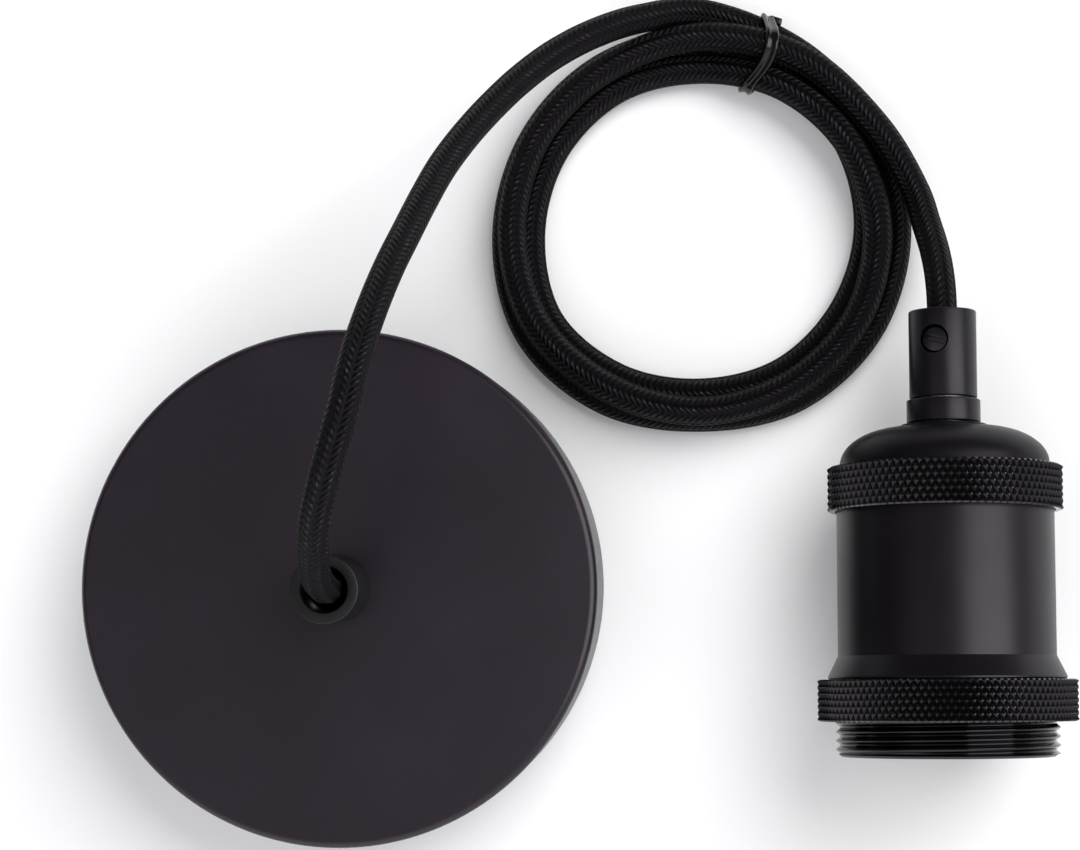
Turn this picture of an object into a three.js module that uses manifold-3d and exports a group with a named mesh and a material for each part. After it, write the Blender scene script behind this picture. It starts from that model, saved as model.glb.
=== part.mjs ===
// Pendant cord set: a ceiling canopy, a textile cord tied in a coil, and a turned lamp holder.
// Millimetres, +Z up. The set lies on a flat surface at z = 0, the canopy with its open side down.
// The origin is on the canopy's axis in the plane of its rim, where the strap meets a ceiling.
import * as THREE from 'three';
import { mergeVertices } from 'three/addons/utils/BufferGeometryUtils.js';
import Module from 'manifold-3d';

const wasm = await Module();
wasm.setup();

// Gap between pieces that meet
const CLEAR = 0.3;

// Canopy cup
const CANOPY_R = 50;
const CANOPY_HEIGHT = 25;
const CANOPY_WALL = 1;
const CANOPY_CORNER_R = 1.6;

// Ceiling strap
const STRAP_THICK = 1.5;
const STRAP_WIDTH = 18;
const STRAP_EAR = 13;
const STRAP_BEND_R = 1.2;
const SLOT_WIDTH = 5;
const SLOT_LENGTH = 9;
const SLOT_INSET = 4.2;

// Grub screws through the canopy's wall
const CANOPY_SCREW_R = 2;
const CANOPY_SCREW_LENGTH = 6;
const CANOPY_SCREW_HEIGHT = 8;

// Cord gland on the canopy
const GLAND_R = 6.45;
const GLAND_BORE_R = 4.35;
const GLAND_RISE = 16.5;
const GLAND_MOUTH_DEPTH = 12.5;
const GLAND_EDGE = 0.5;
const STEM_R = 5;
const STEM_LENGTH = 11;
const GLAND_SCREW_R = 1.9;
const GLAND_SCREW_DEPTH = 5.6;
const GLAND_SCREW_AZIMUTH = THREE.MathUtils.degToRad(225);
const GLAND_SCREW_PROUD = 0.3;
const WASHER_R = 8;
const WASHER_THICK = 1;
const GLAND_NUT_FLATS = 14;
const GLAND_NUT_THICK = 4;

// Two-way terminal block on the strap
const TERMINAL_OFFSET = 23;
const TERMINAL_LENGTH = 15;
const TERMINAL_HEIGHT = 12.5;
const TERMINAL_PITCH = 9;
const TERMINAL_WIDTH = 18;
const INSERT_R = 2.4;
const INSERT_BORE_R = 1.5;
const INSERT_LENGTH = 13;
const INSERT_HEIGHT = 4.8;
const TERMINAL_SCREW_R = 1.3;
const TERMINAL_SCREW_SPACING = 7;
const TERMINAL_SCREW_SUNK = 0.6;
const FIXING_SCREW_R = 1.2;
const FIXING_HEAD_R = 1.9;
const FIXING_HEAD = 1.6;

// Earth screw and lug on the strap
const EARTH_OFFSET = -20;
const EARTH_SCREW_R = 2;
const EARTH_HEAD_R = 3.5;
const EARTH_HEAD = 2.2;
const LUG_THICK = 0.8;
const LUG_R = 4;
const LUG_TAIL = 9;
const LUG_BARREL_R = 1.8;

// Textile cord
const CORD_R = 2.75;
const CORD_SIDES = 9;
const CORD_TAIL = 0.5;
const CORE_R = 0.95;
const CORE_RING_R = 1.4;

// Coil: two lanes of turns side by side and one lane on top
const COIL_CENTRE = new THREE.Vector2(69.9, 71.3);
const COIL_MEAN_R = 36.3;
const LANE_SPACING = 6;
const TIE_ANGLE = THREE.MathUtils.degToRad(73.4);
const TIE_THICK = 0.9;
const TIE_WIDTH = 2.3;

// Lamp holder, lengths along its axis from the mouth
const THREAD_LENGTH = 6.7;
const THREAD_PITCH = 1.6;
const THREAD_PROUD = 0.5;
const THREAD_SUNK = 0.4;
const THREAD_CRESTS = 4;
const SHADE_RING_LENGTH = 7.7;
const SHADE_RING_WALL = 3.75;
const FLARE_LENGTH = 4.4;
const flareRISE = 1.95;
const SLEEVE_LENGTH = 27.7;
const SLEEVE_R = 20.75;
const COUPLING_RING_LENGTH = 8.4;
const COUPLING_RING_WALL = 1.48;
const RING_CHAMFER = 0.9;
const KNURL_PITCH = 3.4;
const KNURL_ROW = 1.5;
const KNURL_DEPTH = 0.45;
const domeRISE = 8.2;
const DOME_INSET = 0.7;
const DOME_WALL = 1.3;
const DOME_STRAIGHT = 1.4;
const DOME_STEP_R = 8.5;
const DOME_STEP = 0.6;
const NECK_LENGTH = 4.5;
const NECK_R = 7.08;
const GRIP_LENGTH = 16.9;
const GRIP_R = 6.5;
const GRIP_SCREW_R = 2.45;
const GRIP_SCREW_INSET = 6;
const GRIP_SCREW_SUNK = 0.7;
const GRIP_SCREW_LEAN = THREE.MathUtils.degToRad(20);
const NIPPLE_R = 4.95;
const NIPPLE_BELOW = 7;
const NIPPLE_IN_GRIP = 6;
const NIPPLE_NUT_FLATS = 13;
const NIPPLE_NUT_THICK = 2.8;
const TAG_R = 7.6;
const TAG_THICK = 0.8;

// Inside of the lamp holder
const SLEEVE_WALL = 2.15;
const SLEEVE_REAR_WALL = 0.95;
const INSERT_SEAT = 40;
const SOCKET_MOUTH = 3;
const SOCKET_FLOOR = 30;
const SOCKET_BASE = 45;
const SOCKET_CAVITY_R = 14.2;
const SOCKET_RIM_WALL = 3.4;
const SHELL_R = 13.2;
const SHELL_RIDGE = 0.7;
const SHELL_SHEET = 0.5;
const SHELL_PITCH = 3.6;
const SHELL_RIDGES = 5;
const SHELL_FLOOR_R = 8;
const CONTACT_WIDTH = 5;
const CONTACT_SHEET = 0.6;
const CONTACT_REACH = 6;
const CONTACT_RISE = 3;
const BLOCK_OFFSET = 9.5;
const BLOCK_SIZE = new THREE.Vector3(7, 8, 4.6);
const BLOCK_SCREW_R = 1.5;
const BLOCK_SCREW_HEAD_R = 2.6;
const BLOCK_SCREW_HEAD = 1.2;

// Where the lamp holder lies: its mouth's centre in plan, and how far its axis leans in plan
const HOLDER_MOUTH = new THREE.Vector2(116.9, -31.96);
const HOLDER_LEAN = THREE.MathUtils.degToRad(0.31);

// Stations along the holder's axis, from the mouth
const shadeRingStart = THREAD_LENGTH;
const shadeRingEnd = shadeRingStart + SHADE_RING_LENGTH;
const flareStart = shadeRingEnd + CLEAR;
const flareEnd = flareStart + FLARE_LENGTH;
const couplingStart = flareEnd + SLEEVE_LENGTH;
const couplingEnd = couplingStart + COUPLING_RING_LENGTH;
const sleeveEnd = couplingStart + COUPLING_RING_LENGTH / 2 - CLEAR;
const domeFlangeStart = sleeveEnd + CLEAR;
const domeFlangeEnd = domeFlangeStart + 2 * CLEAR + DOME_WALL;
const domeEnd = couplingEnd + domeRISE;
const neckStart = domeEnd + CLEAR;
const neckEnd = neckStart + NECK_LENGTH;
const gripStart = neckEnd + CLEAR;
const gripEnd = gripStart + GRIP_LENGTH;
const nippleStart = domeEnd - NIPPLE_BELOW;
const nippleEnd = gripStart + NIPPLE_IN_GRIP;
const cordEndStation = nippleStart - CLEAR;

// Radii that follow from the sleeve's
const shadeRingR = SLEEVE_R + CLEAR + SHADE_RING_WALL;
const couplingRingR = SLEEVE_R + CLEAR + COUPLING_RING_WALL;
const flareR = SLEEVE_R + flareRISE;
const domeR = SLEEVE_R - DOME_INSET;
const skirtBoreR = SLEEVE_R - SLEEVE_WALL;
const rearBoreR = SLEEVE_R - SLEEVE_REAR_WALL;

// Heights inside the canopy that follow from its face
const glandTop = CANOPY_HEIGHT + GLAND_RISE;
const cordEndHeight = CANOPY_HEIGHT - STEM_LENGTH - CORD_TAIL;

// The holder rests on the raised edges of its two rings
const shadeEdge = shadeRingEnd - RING_CHAMFER;
const couplingEdge = couplingEnd - RING_CHAMFER;
const holderTilt = Math.atan((shadeRingR - couplingRingR) / (couplingEdge - shadeEdge));
const mouthHeight = (shadeRingR + shadeEdge * Math.tan(holderTilt)) * Math.cos(holderTilt);

const materials = {
  powderBlack: finish(0x2c282b, 0.55, 0.3),
  holderBlack: finish(0x1f1d20, 0.45, 0.5),
  glandBlack: finish(0x2e2d30, 0.7, 0),
  textileBlack: finish(0x121114, 0.95, 0),
  tieGrey: finish(0x3a393c, 0.35, 0),
  steel: finish(0xb4b4b2, 0.35, 1),
  brass: finish(0xc9a552, 0.35, 1),
  ceramic: finish(0xe8e3d8, 0.4, 0),
  terminalWhite: finish(0xe6e4dc, 0.6, 0),
  coreBrown: finish(0x6b3f22, 0.5, 0),
  coreBlue: finish(0x2456a8, 0.5, 0),
  coreEarth: finish(0x7fa32a, 0.5, 0),
};

function finish(color, roughness, metalness) {
  return new THREE.MeshStandardMaterial({ color, roughness, metalness });
}

function addPart(parent, name, geometry, material) {
  const mesh = new THREE.Mesh(geometry, material);
  mesh.name = name;
  parent.add(mesh);
  return mesh;
}

// A closed geometry as a solid that can be cut and joined
function solidOf(geometry) {
  const bare = geometry.clone();
  bare.deleteAttribute('normal');
  bare.deleteAttribute('uv');
  const merged = mergeVertices(bare, 1e-4);
  const corners = merged.index.array;
  const faces = [];
  for (let i = 0; i < corners.length; i += 3) {
    const [a, b, c] = corners.slice(i, i + 3);
    if (a !== b && b !== c && c !== a) faces.push(a, b, c);
  }
  return new wasm.Manifold(new wasm.Mesh({
    numProp: 3,
    vertProperties: new Float32Array(merged.attributes.position.array),
    triVerts: new Uint32Array(faces),
  }));
}

function geometryOf(solid) {
  const mesh = solid.getMesh();
  const geometry = new THREE.BufferGeometry();
  geometry.setAttribute('position', new THREE.BufferAttribute(new Float32Array(mesh.vertProperties), 3));
  geometry.setIndex(new THREE.BufferAttribute(new Uint32Array(mesh.triVerts), 1));
  return geometry;
}

// Cuts each tool from a blank
function cut(blank, ...tools) {
  const solid = tools.reduce((rest, tool) => rest.subtract(solidOf(tool)), solidOf(blank));
  return geometryOf(solid);
}

function join(first, ...others) {
  const solid = others.reduce((sum, other) => sum.add(solidOf(other)), solidOf(first));
  return geometryOf(solid);
}

// A profile of [radius, height] points, anticlockwise, turned round the Z axis
function turned(profile, segments = 48) {
  const points = profile.map(([r, z]) => new THREE.Vector2(r, z));
  const [first] = points;
  if (first.x > 0) points.push(first.clone());
  return new THREE.LatheGeometry(points, segments).rotateX(Math.PI / 2);
}

// A round bar along Z from one height to another
function bar(radius, low, high, segments = 16) {
  const geometry = new THREE.CylinderGeometry(radius, radius, high - low, segments);
  return geometry.rotateX(Math.PI / 2).translate(0, 0, (low + high) / 2);
}

function block(sizeX, sizeY, sizeZ, x = 0, y = 0, z = 0) {
  return new THREE.BoxGeometry(sizeX, sizeY, sizeZ).translate(x, y, z);
}

// A hexagon nut on the Z axis
function hexNut(flats, bore, low, high) {
  const nut = bar(flats / Math.sqrt(3), low, high, 6);
  return cut(nut, bar(bore, low - 1, high + 1, 24));
}

// A headless screw along Z with its slotted end at z = 0 and its tip below
function grubScrew(radius, length) {
  const slot = block(2.4 * radius, 0.4 * radius, 0.8 * radius);
  return cut(bar(radius, -length, 0), slot);
}

// A slotted screw with a round head, the seat of the head at z = 0
function headedScrew(radius, length, headRadius, head) {
  const shape = join(bar(radius, -length, 0.1, 12), bar(headRadius, 0, head));
  return cut(shape, block(2.4 * headRadius, 0.3 * headRadius, head, 0, 0, head));
}

// A plain tube of one radius along a route
function tube(points, radius, sides, steps) {
  const section = new THREE.Shape();
  for (let i = 0; i < sides; i += 1) {
    const angle = (2 * Math.PI * i) / sides;
    const corner = [radius * Math.cos(angle), radius * Math.sin(angle)];
    if (i === 0) section.moveTo(...corner);
    else section.lineTo(...corner);
  }
  const extrudePath = new THREE.CatmullRomCurve3(points, false, 'centripetal');
  return new THREE.ExtrudeGeometry(section, { steps, extrudePath });
}

// A knurled ring from z = 0 up. Raised points stand in rows, each row half a step on from the last.
// The bore is a list of [radius, height] points from the top face down to the bottom face.
function knurledRing(outerR, length, bore) {
  const spots = 2 * Math.round((Math.PI * outerR) / KNURL_PITCH);
  const columns = 2 * spots;
  const band = length - 2 * RING_CHAMFER;
  const rowCount = 2 * Math.round(band / (2 * KNURL_ROW));
  const rows = [[outerR - RING_CHAMFER, 0]];
  for (let k = 0; k <= rowCount; k += 1) rows.push([outerR, RING_CHAMFER + (band * k) / rowCount, k]);
  rows.push([outerR - RING_CHAMFER, length], ...bore);
  const positions = [];
  for (const [radius, z, k] of rows) {
    for (let j = 0; j < columns; j += 1) {
      const angle = (2 * Math.PI * j) / columns;
      const valley = k !== undefined && (j + k) % 2 === 0;
      const r = valley ? radius - KNURL_DEPTH : radius;
      positions.push(r * Math.cos(angle), r * Math.sin(angle), z);
    }
  }
  const faces = [];
  for (let i = 0; i < rows.length; i += 1) {
    const next = (i + 1) % rows.length;
    for (let j = 0; j < columns; j += 1) {
      const right = (j + 1) % columns;
      const corners = [i * columns + j, i * columns + right, next * columns + right, next * columns + j];
      const [a, b, c, d] = corners;
      if ((i - 1 + j) % 2 === 0) faces.push(a, b, c, a, c, d);
      else faces.push(a, b, d, b, c, d);
    }
  }
  const geometry = new THREE.BufferGeometry();
  geometry.setAttribute('position', new THREE.Float32BufferAttribute(positions, 3));
  geometry.setIndex(faces);
  return geometry;
}

// Points on a quarter ellipse about a centre, from one angle to another
function arc(centreR, centreZ, radiusR, radiusZ, from, to, steps) {
  const points = [];
  for (let i = 0; i <= steps; i += 1) {
    const angle = THREE.MathUtils.degToRad(from + ((to - from) * i) / steps);
    points.push([centreR + radiusR * Math.cos(angle), centreZ + radiusZ * Math.sin(angle)]);
  }
  return points;
}

// Canopy cup, strap and grub screws
function buildCanopy(parent) {
  const inner = CANOPY_R - CANOPY_WALL;
  const ceiling = CANOPY_HEIGHT - CANOPY_WALL;
  const holeR = STEM_R + CLEAR;
  const outerCorner = CANOPY_HEIGHT - CANOPY_CORNER_R;
  const innerCornerR = CANOPY_CORNER_R - CANOPY_WALL / 2;
  const cup = turned([
    [inner, 0],
    [CANOPY_R, 0],
    ...arc(CANOPY_R - CANOPY_CORNER_R, outerCorner, CANOPY_CORNER_R, CANOPY_CORNER_R, 0, 90, 3),
    [holeR, CANOPY_HEIGHT],
    [holeR, ceiling],
    ...arc(inner - innerCornerR, ceiling - innerCornerR, innerCornerR, innerCornerR, 90, 0, 2),
  ], 50);
  const screwHole = bar(CANOPY_SCREW_R + CLEAR, -CANOPY_R - 5, CANOPY_R + 5, 12)
    .rotateX(Math.PI / 2)
    .translate(0, 0, CANOPY_SCREW_HEIGHT);
  addPart(parent, 'canopy_cup', cut(cup, screwHole), materials.powderBlack);

  const half = Math.sqrt((inner - CLEAR) ** 2 - (STRAP_WIDTH / 2) ** 2);
  const side = new THREE.Shape();
  side.moveTo(-half, STRAP_BEND_R);
  side.lineTo(-half, STRAP_EAR);
  side.lineTo(-half + STRAP_THICK, STRAP_EAR);
  side.lineTo(-half + STRAP_THICK, STRAP_THICK);
  side.lineTo(half - STRAP_THICK, STRAP_THICK);
  side.lineTo(half - STRAP_THICK, STRAP_EAR);
  side.lineTo(half, STRAP_EAR);
  side.lineTo(half, STRAP_BEND_R);
  side.quadraticCurveTo(half, 0, half - STRAP_BEND_R, 0);
  side.lineTo(-half + STRAP_BEND_R, 0);
  side.quadraticCurveTo(-half, 0, -half, STRAP_BEND_R);
  const folded = new THREE.ExtrudeGeometry(side, { depth: STRAP_WIDTH, bevelEnabled: false, curveSegments: 3 })
    .translate(0, 0, -STRAP_WIDTH / 2)
    .rotateX(Math.PI / 2)
    .rotateZ(Math.PI / 2);
  const slots = [];
  for (const end of [-1, 1]) {
    const slotCentre = end * (half - STRAP_THICK - SLOT_INSET - SLOT_LENGTH / 2);
    const straight = SLOT_LENGTH - SLOT_WIDTH;
    const ends = [-0.5, 0.5].map((s) => bar(SLOT_WIDTH / 2, -1, STRAP_THICK + 1).translate(0, s * straight, 0));
    const middle = block(SLOT_WIDTH, straight, STRAP_THICK + 2, 0, 0, STRAP_THICK / 2);
    slots.push(join(middle, ...ends).translate(0, slotCentre, 0));
  }
  const earthHole = bar(EARTH_SCREW_R + CLEAR, -1, STRAP_THICK + 1).translate(0, EARTH_OFFSET, 0);
  const fixingHole = bar(FIXING_SCREW_R + CLEAR, -1, STRAP_THICK + 1, 12).translate(0, TERMINAL_OFFSET, 0);
  addPart(parent, 'mounting_strap', cut(folded, screwHole, earthHole, fixingHole, ...slots), materials.steel);

  for (const [name, end] of [['canopy_screw_1', 1], ['canopy_screw_2', -1]]) {
    const screw = addPart(parent, name, grubScrew(CANOPY_SCREW_R, CANOPY_SCREW_LENGTH), materials.steel);
    screw.position.set(0, end * (CANOPY_R - CLEAR), CANOPY_SCREW_HEIGHT);
    screw.rotation.x = (-end * Math.PI) / 2;
  }
}

// Cord gland with its clamping screw, washer and nut
function buildGland(parent) {
  const seat = CANOPY_HEIGHT;
  const top = glandTop;
  const stemEnd = seat - STEM_LENGTH;
  const passR = CORD_R + CLEAR;
  const body = turned([
    [passR, stemEnd],
    [STEM_R, stemEnd],
    [STEM_R, seat],
    [GLAND_R, seat],
    [GLAND_R, top - GLAND_EDGE],
    [GLAND_R - GLAND_EDGE, top],
    [GLAND_BORE_R, top],
    [GLAND_BORE_R, top - GLAND_MOUTH_DEPTH],
    [passR, top - GLAND_MOUTH_DEPTH - GLAND_BORE_R + passR],
  ], 28);
  const screwHeight = top - GLAND_SCREW_DEPTH;
  const hole = bar(GLAND_SCREW_R + CLEAR, 0, GLAND_R + 2)
    .rotateY(Math.PI / 2)
    .rotateZ(GLAND_SCREW_AZIMUTH)
    .translate(0, 0, screwHeight);
  addPart(parent, 'cord_gland', cut(body, hole), materials.glandBlack);

  const reach = GLAND_R + GLAND_SCREW_PROUD;
  const length = reach - CORD_R - 3 * CLEAR;
  const screw = addPart(parent, 'gland_screw', grubScrew(GLAND_SCREW_R, length), materials.steel);
  const outward = new THREE.Vector3(Math.cos(GLAND_SCREW_AZIMUTH), Math.sin(GLAND_SCREW_AZIMUTH), 0);
  screw.quaternion.setFromUnitVectors(new THREE.Vector3(0, 0, 1), outward);
  screw.position.copy(outward).multiplyScalar(reach).setZ(screwHeight);

  const under = CANOPY_HEIGHT - CANOPY_WALL;
  const washerLow = under - WASHER_THICK;
  const washer = cut(bar(WASHER_R, washerLow, under, 32), bar(STEM_R + CLEAR, washerLow - 1, under + 1, 24));
  addPart(parent, 'gland_washer', washer, materials.steel);
  const nut = hexNut(GLAND_NUT_FLATS, STEM_R + CLEAR, washerLow - GLAND_NUT_THICK, washerLow);
  addPart(parent, 'gland_nut', nut, materials.glandBlack);
}

// Terminal block, earth lug and the cores between them and the cord's end
function buildCanopyWiring(parent) {
  const base = STRAP_THICK;
  const insertAxis = base + INSERT_HEIGHT;
  const top = base + TERMINAL_HEIGHT;
  const poles = [-TERMINAL_PITCH / 2, TERMINAL_PITCH / 2];
  const screwSpots = [-TERMINAL_SCREW_SPACING / 2, TERMINAL_SCREW_SPACING / 2];
  const along = (radius, length, x) => bar(radius, -length / 2, length / 2, 12)
    .rotateX(Math.PI / 2)
    .translate(x, 0, insertAxis);
  const down = (radius, x, y, low, high) => bar(radius, low, high, 12).translate(x, y, 0);

  const holes = [down(FIXING_HEAD_R + CLEAR, 0, 0, base + TERMINAL_HEIGHT / 2, top + 1)];
  holes.push(down(FIXING_SCREW_R + CLEAR, 0, 0, base - 1, top));
  for (const x of poles) {
    holes.push(along(INSERT_R + CLEAR, TERMINAL_LENGTH + 2, x));
    for (const y of screwSpots) holes.push(down(TERMINAL_SCREW_R + 2 * CLEAR, x, y, insertAxis, top + 1));
  }
  const housing = block(TERMINAL_WIDTH, TERMINAL_LENGTH, TERMINAL_HEIGHT, 0, 0, base + TERMINAL_HEIGHT / 2);
  addPart(parent, 'terminal_body', cut(housing, ...holes), materials.terminalWhite).position.y = TERMINAL_OFFSET;

  let screwNumber = 1;
  poles.forEach((x, pole) => {
    const bores = [along(INSERT_BORE_R, INSERT_LENGTH + 2, x)];
    for (const y of screwSpots) bores.push(down(TERMINAL_SCREW_R + CLEAR, x, y, insertAxis, top));
    const insert = cut(along(INSERT_R, INSERT_LENGTH, x), ...bores);
    addPart(parent, `terminal_insert_${pole + 1}`, insert, materials.brass).position.y = TERMINAL_OFFSET;
    for (const y of screwSpots) {
      const length = top - TERMINAL_SCREW_SUNK - insertAxis;
      const shape = grubScrew(TERMINAL_SCREW_R, length);
      const screw = addPart(parent, `terminal_screw_${screwNumber}`, shape, materials.steel);
      screw.position.set(x, TERMINAL_OFFSET + y, top - TERMINAL_SCREW_SUNK);
      screwNumber += 1;
    }
  });
  const seat = base + TERMINAL_HEIGHT / 2 + CLEAR;
  const fixing = headedScrew(FIXING_SCREW_R, seat - CLEAR, FIXING_HEAD_R, FIXING_HEAD);
  addPart(parent, 'terminal_fixing_screw', fixing, materials.steel).position.set(0, TERMINAL_OFFSET, seat);

  const lugTop = base + LUG_THICK;
  const barrel = bar(LUG_BARREL_R, LUG_TAIL / 2, LUG_TAIL, 12)
    .rotateX(-Math.PI / 2)
    .translate(0, 0, base + LUG_BARREL_R);
  const tail = block(LUG_R, LUG_TAIL, LUG_THICK, 0, LUG_TAIL / 2, base + LUG_THICK / 2);
  const lug = join(bar(LUG_R, base, lugTop, 20), tail, barrel);
  const lugHole = bar(EARTH_SCREW_R + CLEAR, base - 1, lugTop + 1);
  addPart(parent, 'earth_lug', cut(lug, lugHole), materials.brass).position.y = EARTH_OFFSET;
  const earthScrew = headedScrew(EARTH_SCREW_R, lugTop - CLEAR, EARTH_HEAD_R - CLEAR, EARTH_HEAD);
  addPart(parent, 'earth_screw', earthScrew, materials.steel).position.set(0, EARTH_OFFSET, lugTop);

  const below = cordEndHeight - CLEAR;
  const towardInsert = TERMINAL_OFFSET - INSERT_LENGTH / 2 - CLEAR;
  const core = (name, angle, far, lead, material) => {
    const start = new THREE.Vector3(CORE_RING_R * Math.cos(angle), CORE_RING_R * Math.sin(angle), below);
    const middle = start.clone().setZ((below + far.z) / 2 + 1);
    const points = [start, middle, far.clone().add(lead), far];
    addPart(parent, name, tube(points, CORE_R, 8, 10), material);
  };
  const lead = new THREE.Vector3(0, -4, 0);
  const brownEnd = new THREE.Vector3(poles[0], towardInsert, insertAxis);
  const blueEnd = new THREE.Vector3(poles[1], towardInsert, insertAxis);
  const earthEnd = new THREE.Vector3(0, EARTH_OFFSET + LUG_TAIL + CLEAR, base + LUG_BARREL_R);
  core('canopy_core_brown', Math.PI * 5 / 6, brownEnd, lead, materials.coreBrown);
  core('canopy_core_blue', Math.PI / 6, blueEnd, lead, materials.coreBlue);
  core('canopy_core_earth', -Math.PI / 2, earthEnd, lead.clone().negate(), materials.coreEarth);
}

// The outline round two floor lanes and the lane on top, as [offset, height] points
function bundleOutline(offset, steps) {
  const rise = Math.sqrt((2 * CORD_R) ** 2 - (LANE_SPACING / 2) ** 2);
  const slope = THREE.MathUtils.radToDeg(Math.atan2(LANE_SPACING / 2, rise));
  const r = CORD_R + offset;
  return [
    ...arc(LANE_SPACING / 2, CORD_R, r, r, -90, slope, steps),
    ...arc(0, CORD_R + rise, r, r, slope, 180 - slope, steps),
    ...arc(-LANE_SPACING / 2, CORD_R, r, r, 180 - slope, 270, steps),
  ];
}

// The cord's route over the table, from inside the gland to the coil, and from the coil to the holder
const leadRoute = [
  new THREE.Vector3(0, 0, cordEndHeight),
  new THREE.Vector3(0, 0, (cordEndHeight + glandTop) / 2),
  new THREE.Vector3(0.3, 0.2, glandTop),
  new THREE.Vector3(0.9, 2.2, glandTop + 13.2),
  new THREE.Vector3(1.8, 6.1, glandTop + 22.8),
  new THREE.Vector3(3.3, 12.6, glandTop + 30.4),
  new THREE.Vector3(6, 21.2, glandTop + 34.9),
  new THREE.Vector3(8.9, 30.9, glandTop + 35.9),
  new THREE.Vector3(10.9, 40.7, glandTop + 33.5),
  new THREE.Vector3(13, 49.4, 70.2),
  new THREE.Vector3(15.1, 57.2, 64.1),
  new THREE.Vector3(17.4, 64.5, 57.2),
  new THREE.Vector3(19.6, 71.5, 50.2),
  new THREE.Vector3(22.2, 78.5, 43.3),
  new THREE.Vector3(25.7, 85.3, 36.5),
  new THREE.Vector3(30, 91.9, 30.1),
  new THREE.Vector3(35.2, 98.4, 24.1),
  new THREE.Vector3(41.5, 104.4, 18.7),
  new THREE.Vector3(49.1, 109.4, 14),
  new THREE.Vector3(57.8, 113.1, 10.2),
  new THREE.Vector3(65.9, 115.1, 7.6),
];
const dropRoute = [
  new THREE.Vector3(112.6, 78.6, 9),
  new THREE.Vector3(114.8, 71.8, 12.4),
  new THREE.Vector3(116.1, 65.3, 16.6),
  new THREE.Vector3(116.45, 59.3, 19.6),
];

// The lead, the coil, the tie round it and the run into the holder
function buildCord(parent, holderPoint) {
  addPart(parent, 'cord_lead', tube(leadRoute, CORD_R, CORD_SIDES, 24), materials.textileBlack);

  const lift = TIE_THICK + CLEAR;
  const section = bundleOutline(0, 3).map(([r, z]) => [COIL_MEAN_R + r, z + lift]);
  const coil = addPart(parent, 'cord_coil', turned(section, 34), materials.textileBlack);
  coil.position.set(COIL_CENTRE.x, COIL_CENTRE.y, 0);

  const toPoints = (outline) => outline.map(([x, y]) => new THREE.Vector2(x, y + lift));
  const band = new THREE.Shape(toPoints(bundleOutline(CLEAR + TIE_THICK, 3)));
  band.holes.push(new THREE.Path(toPoints(bundleOutline(CLEAR, 3))));
  const tie = new THREE.ExtrudeGeometry(band, { depth: TIE_WIDTH, bevelEnabled: false })
    .translate(COIL_MEAN_R, 0, -TIE_WIDTH / 2)
    .rotateX(Math.PI / 2);
  const tieMesh = addPart(parent, 'cord_tie', tie, materials.tieGrey);
  tieMesh.position.set(COIL_CENTRE.x, COIL_CENTRE.y, 0);
  tieMesh.rotation.z = TIE_ANGLE;

  const inside = [gripEnd, (gripEnd + nippleEnd) / 2, nippleEnd, cordEndStation].map(holderPoint);
  addPart(parent, 'cord_drop', tube([...dropRoute, ...inside], CORD_R, CORD_SIDES, 14), materials.textileBlack);
}

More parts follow.
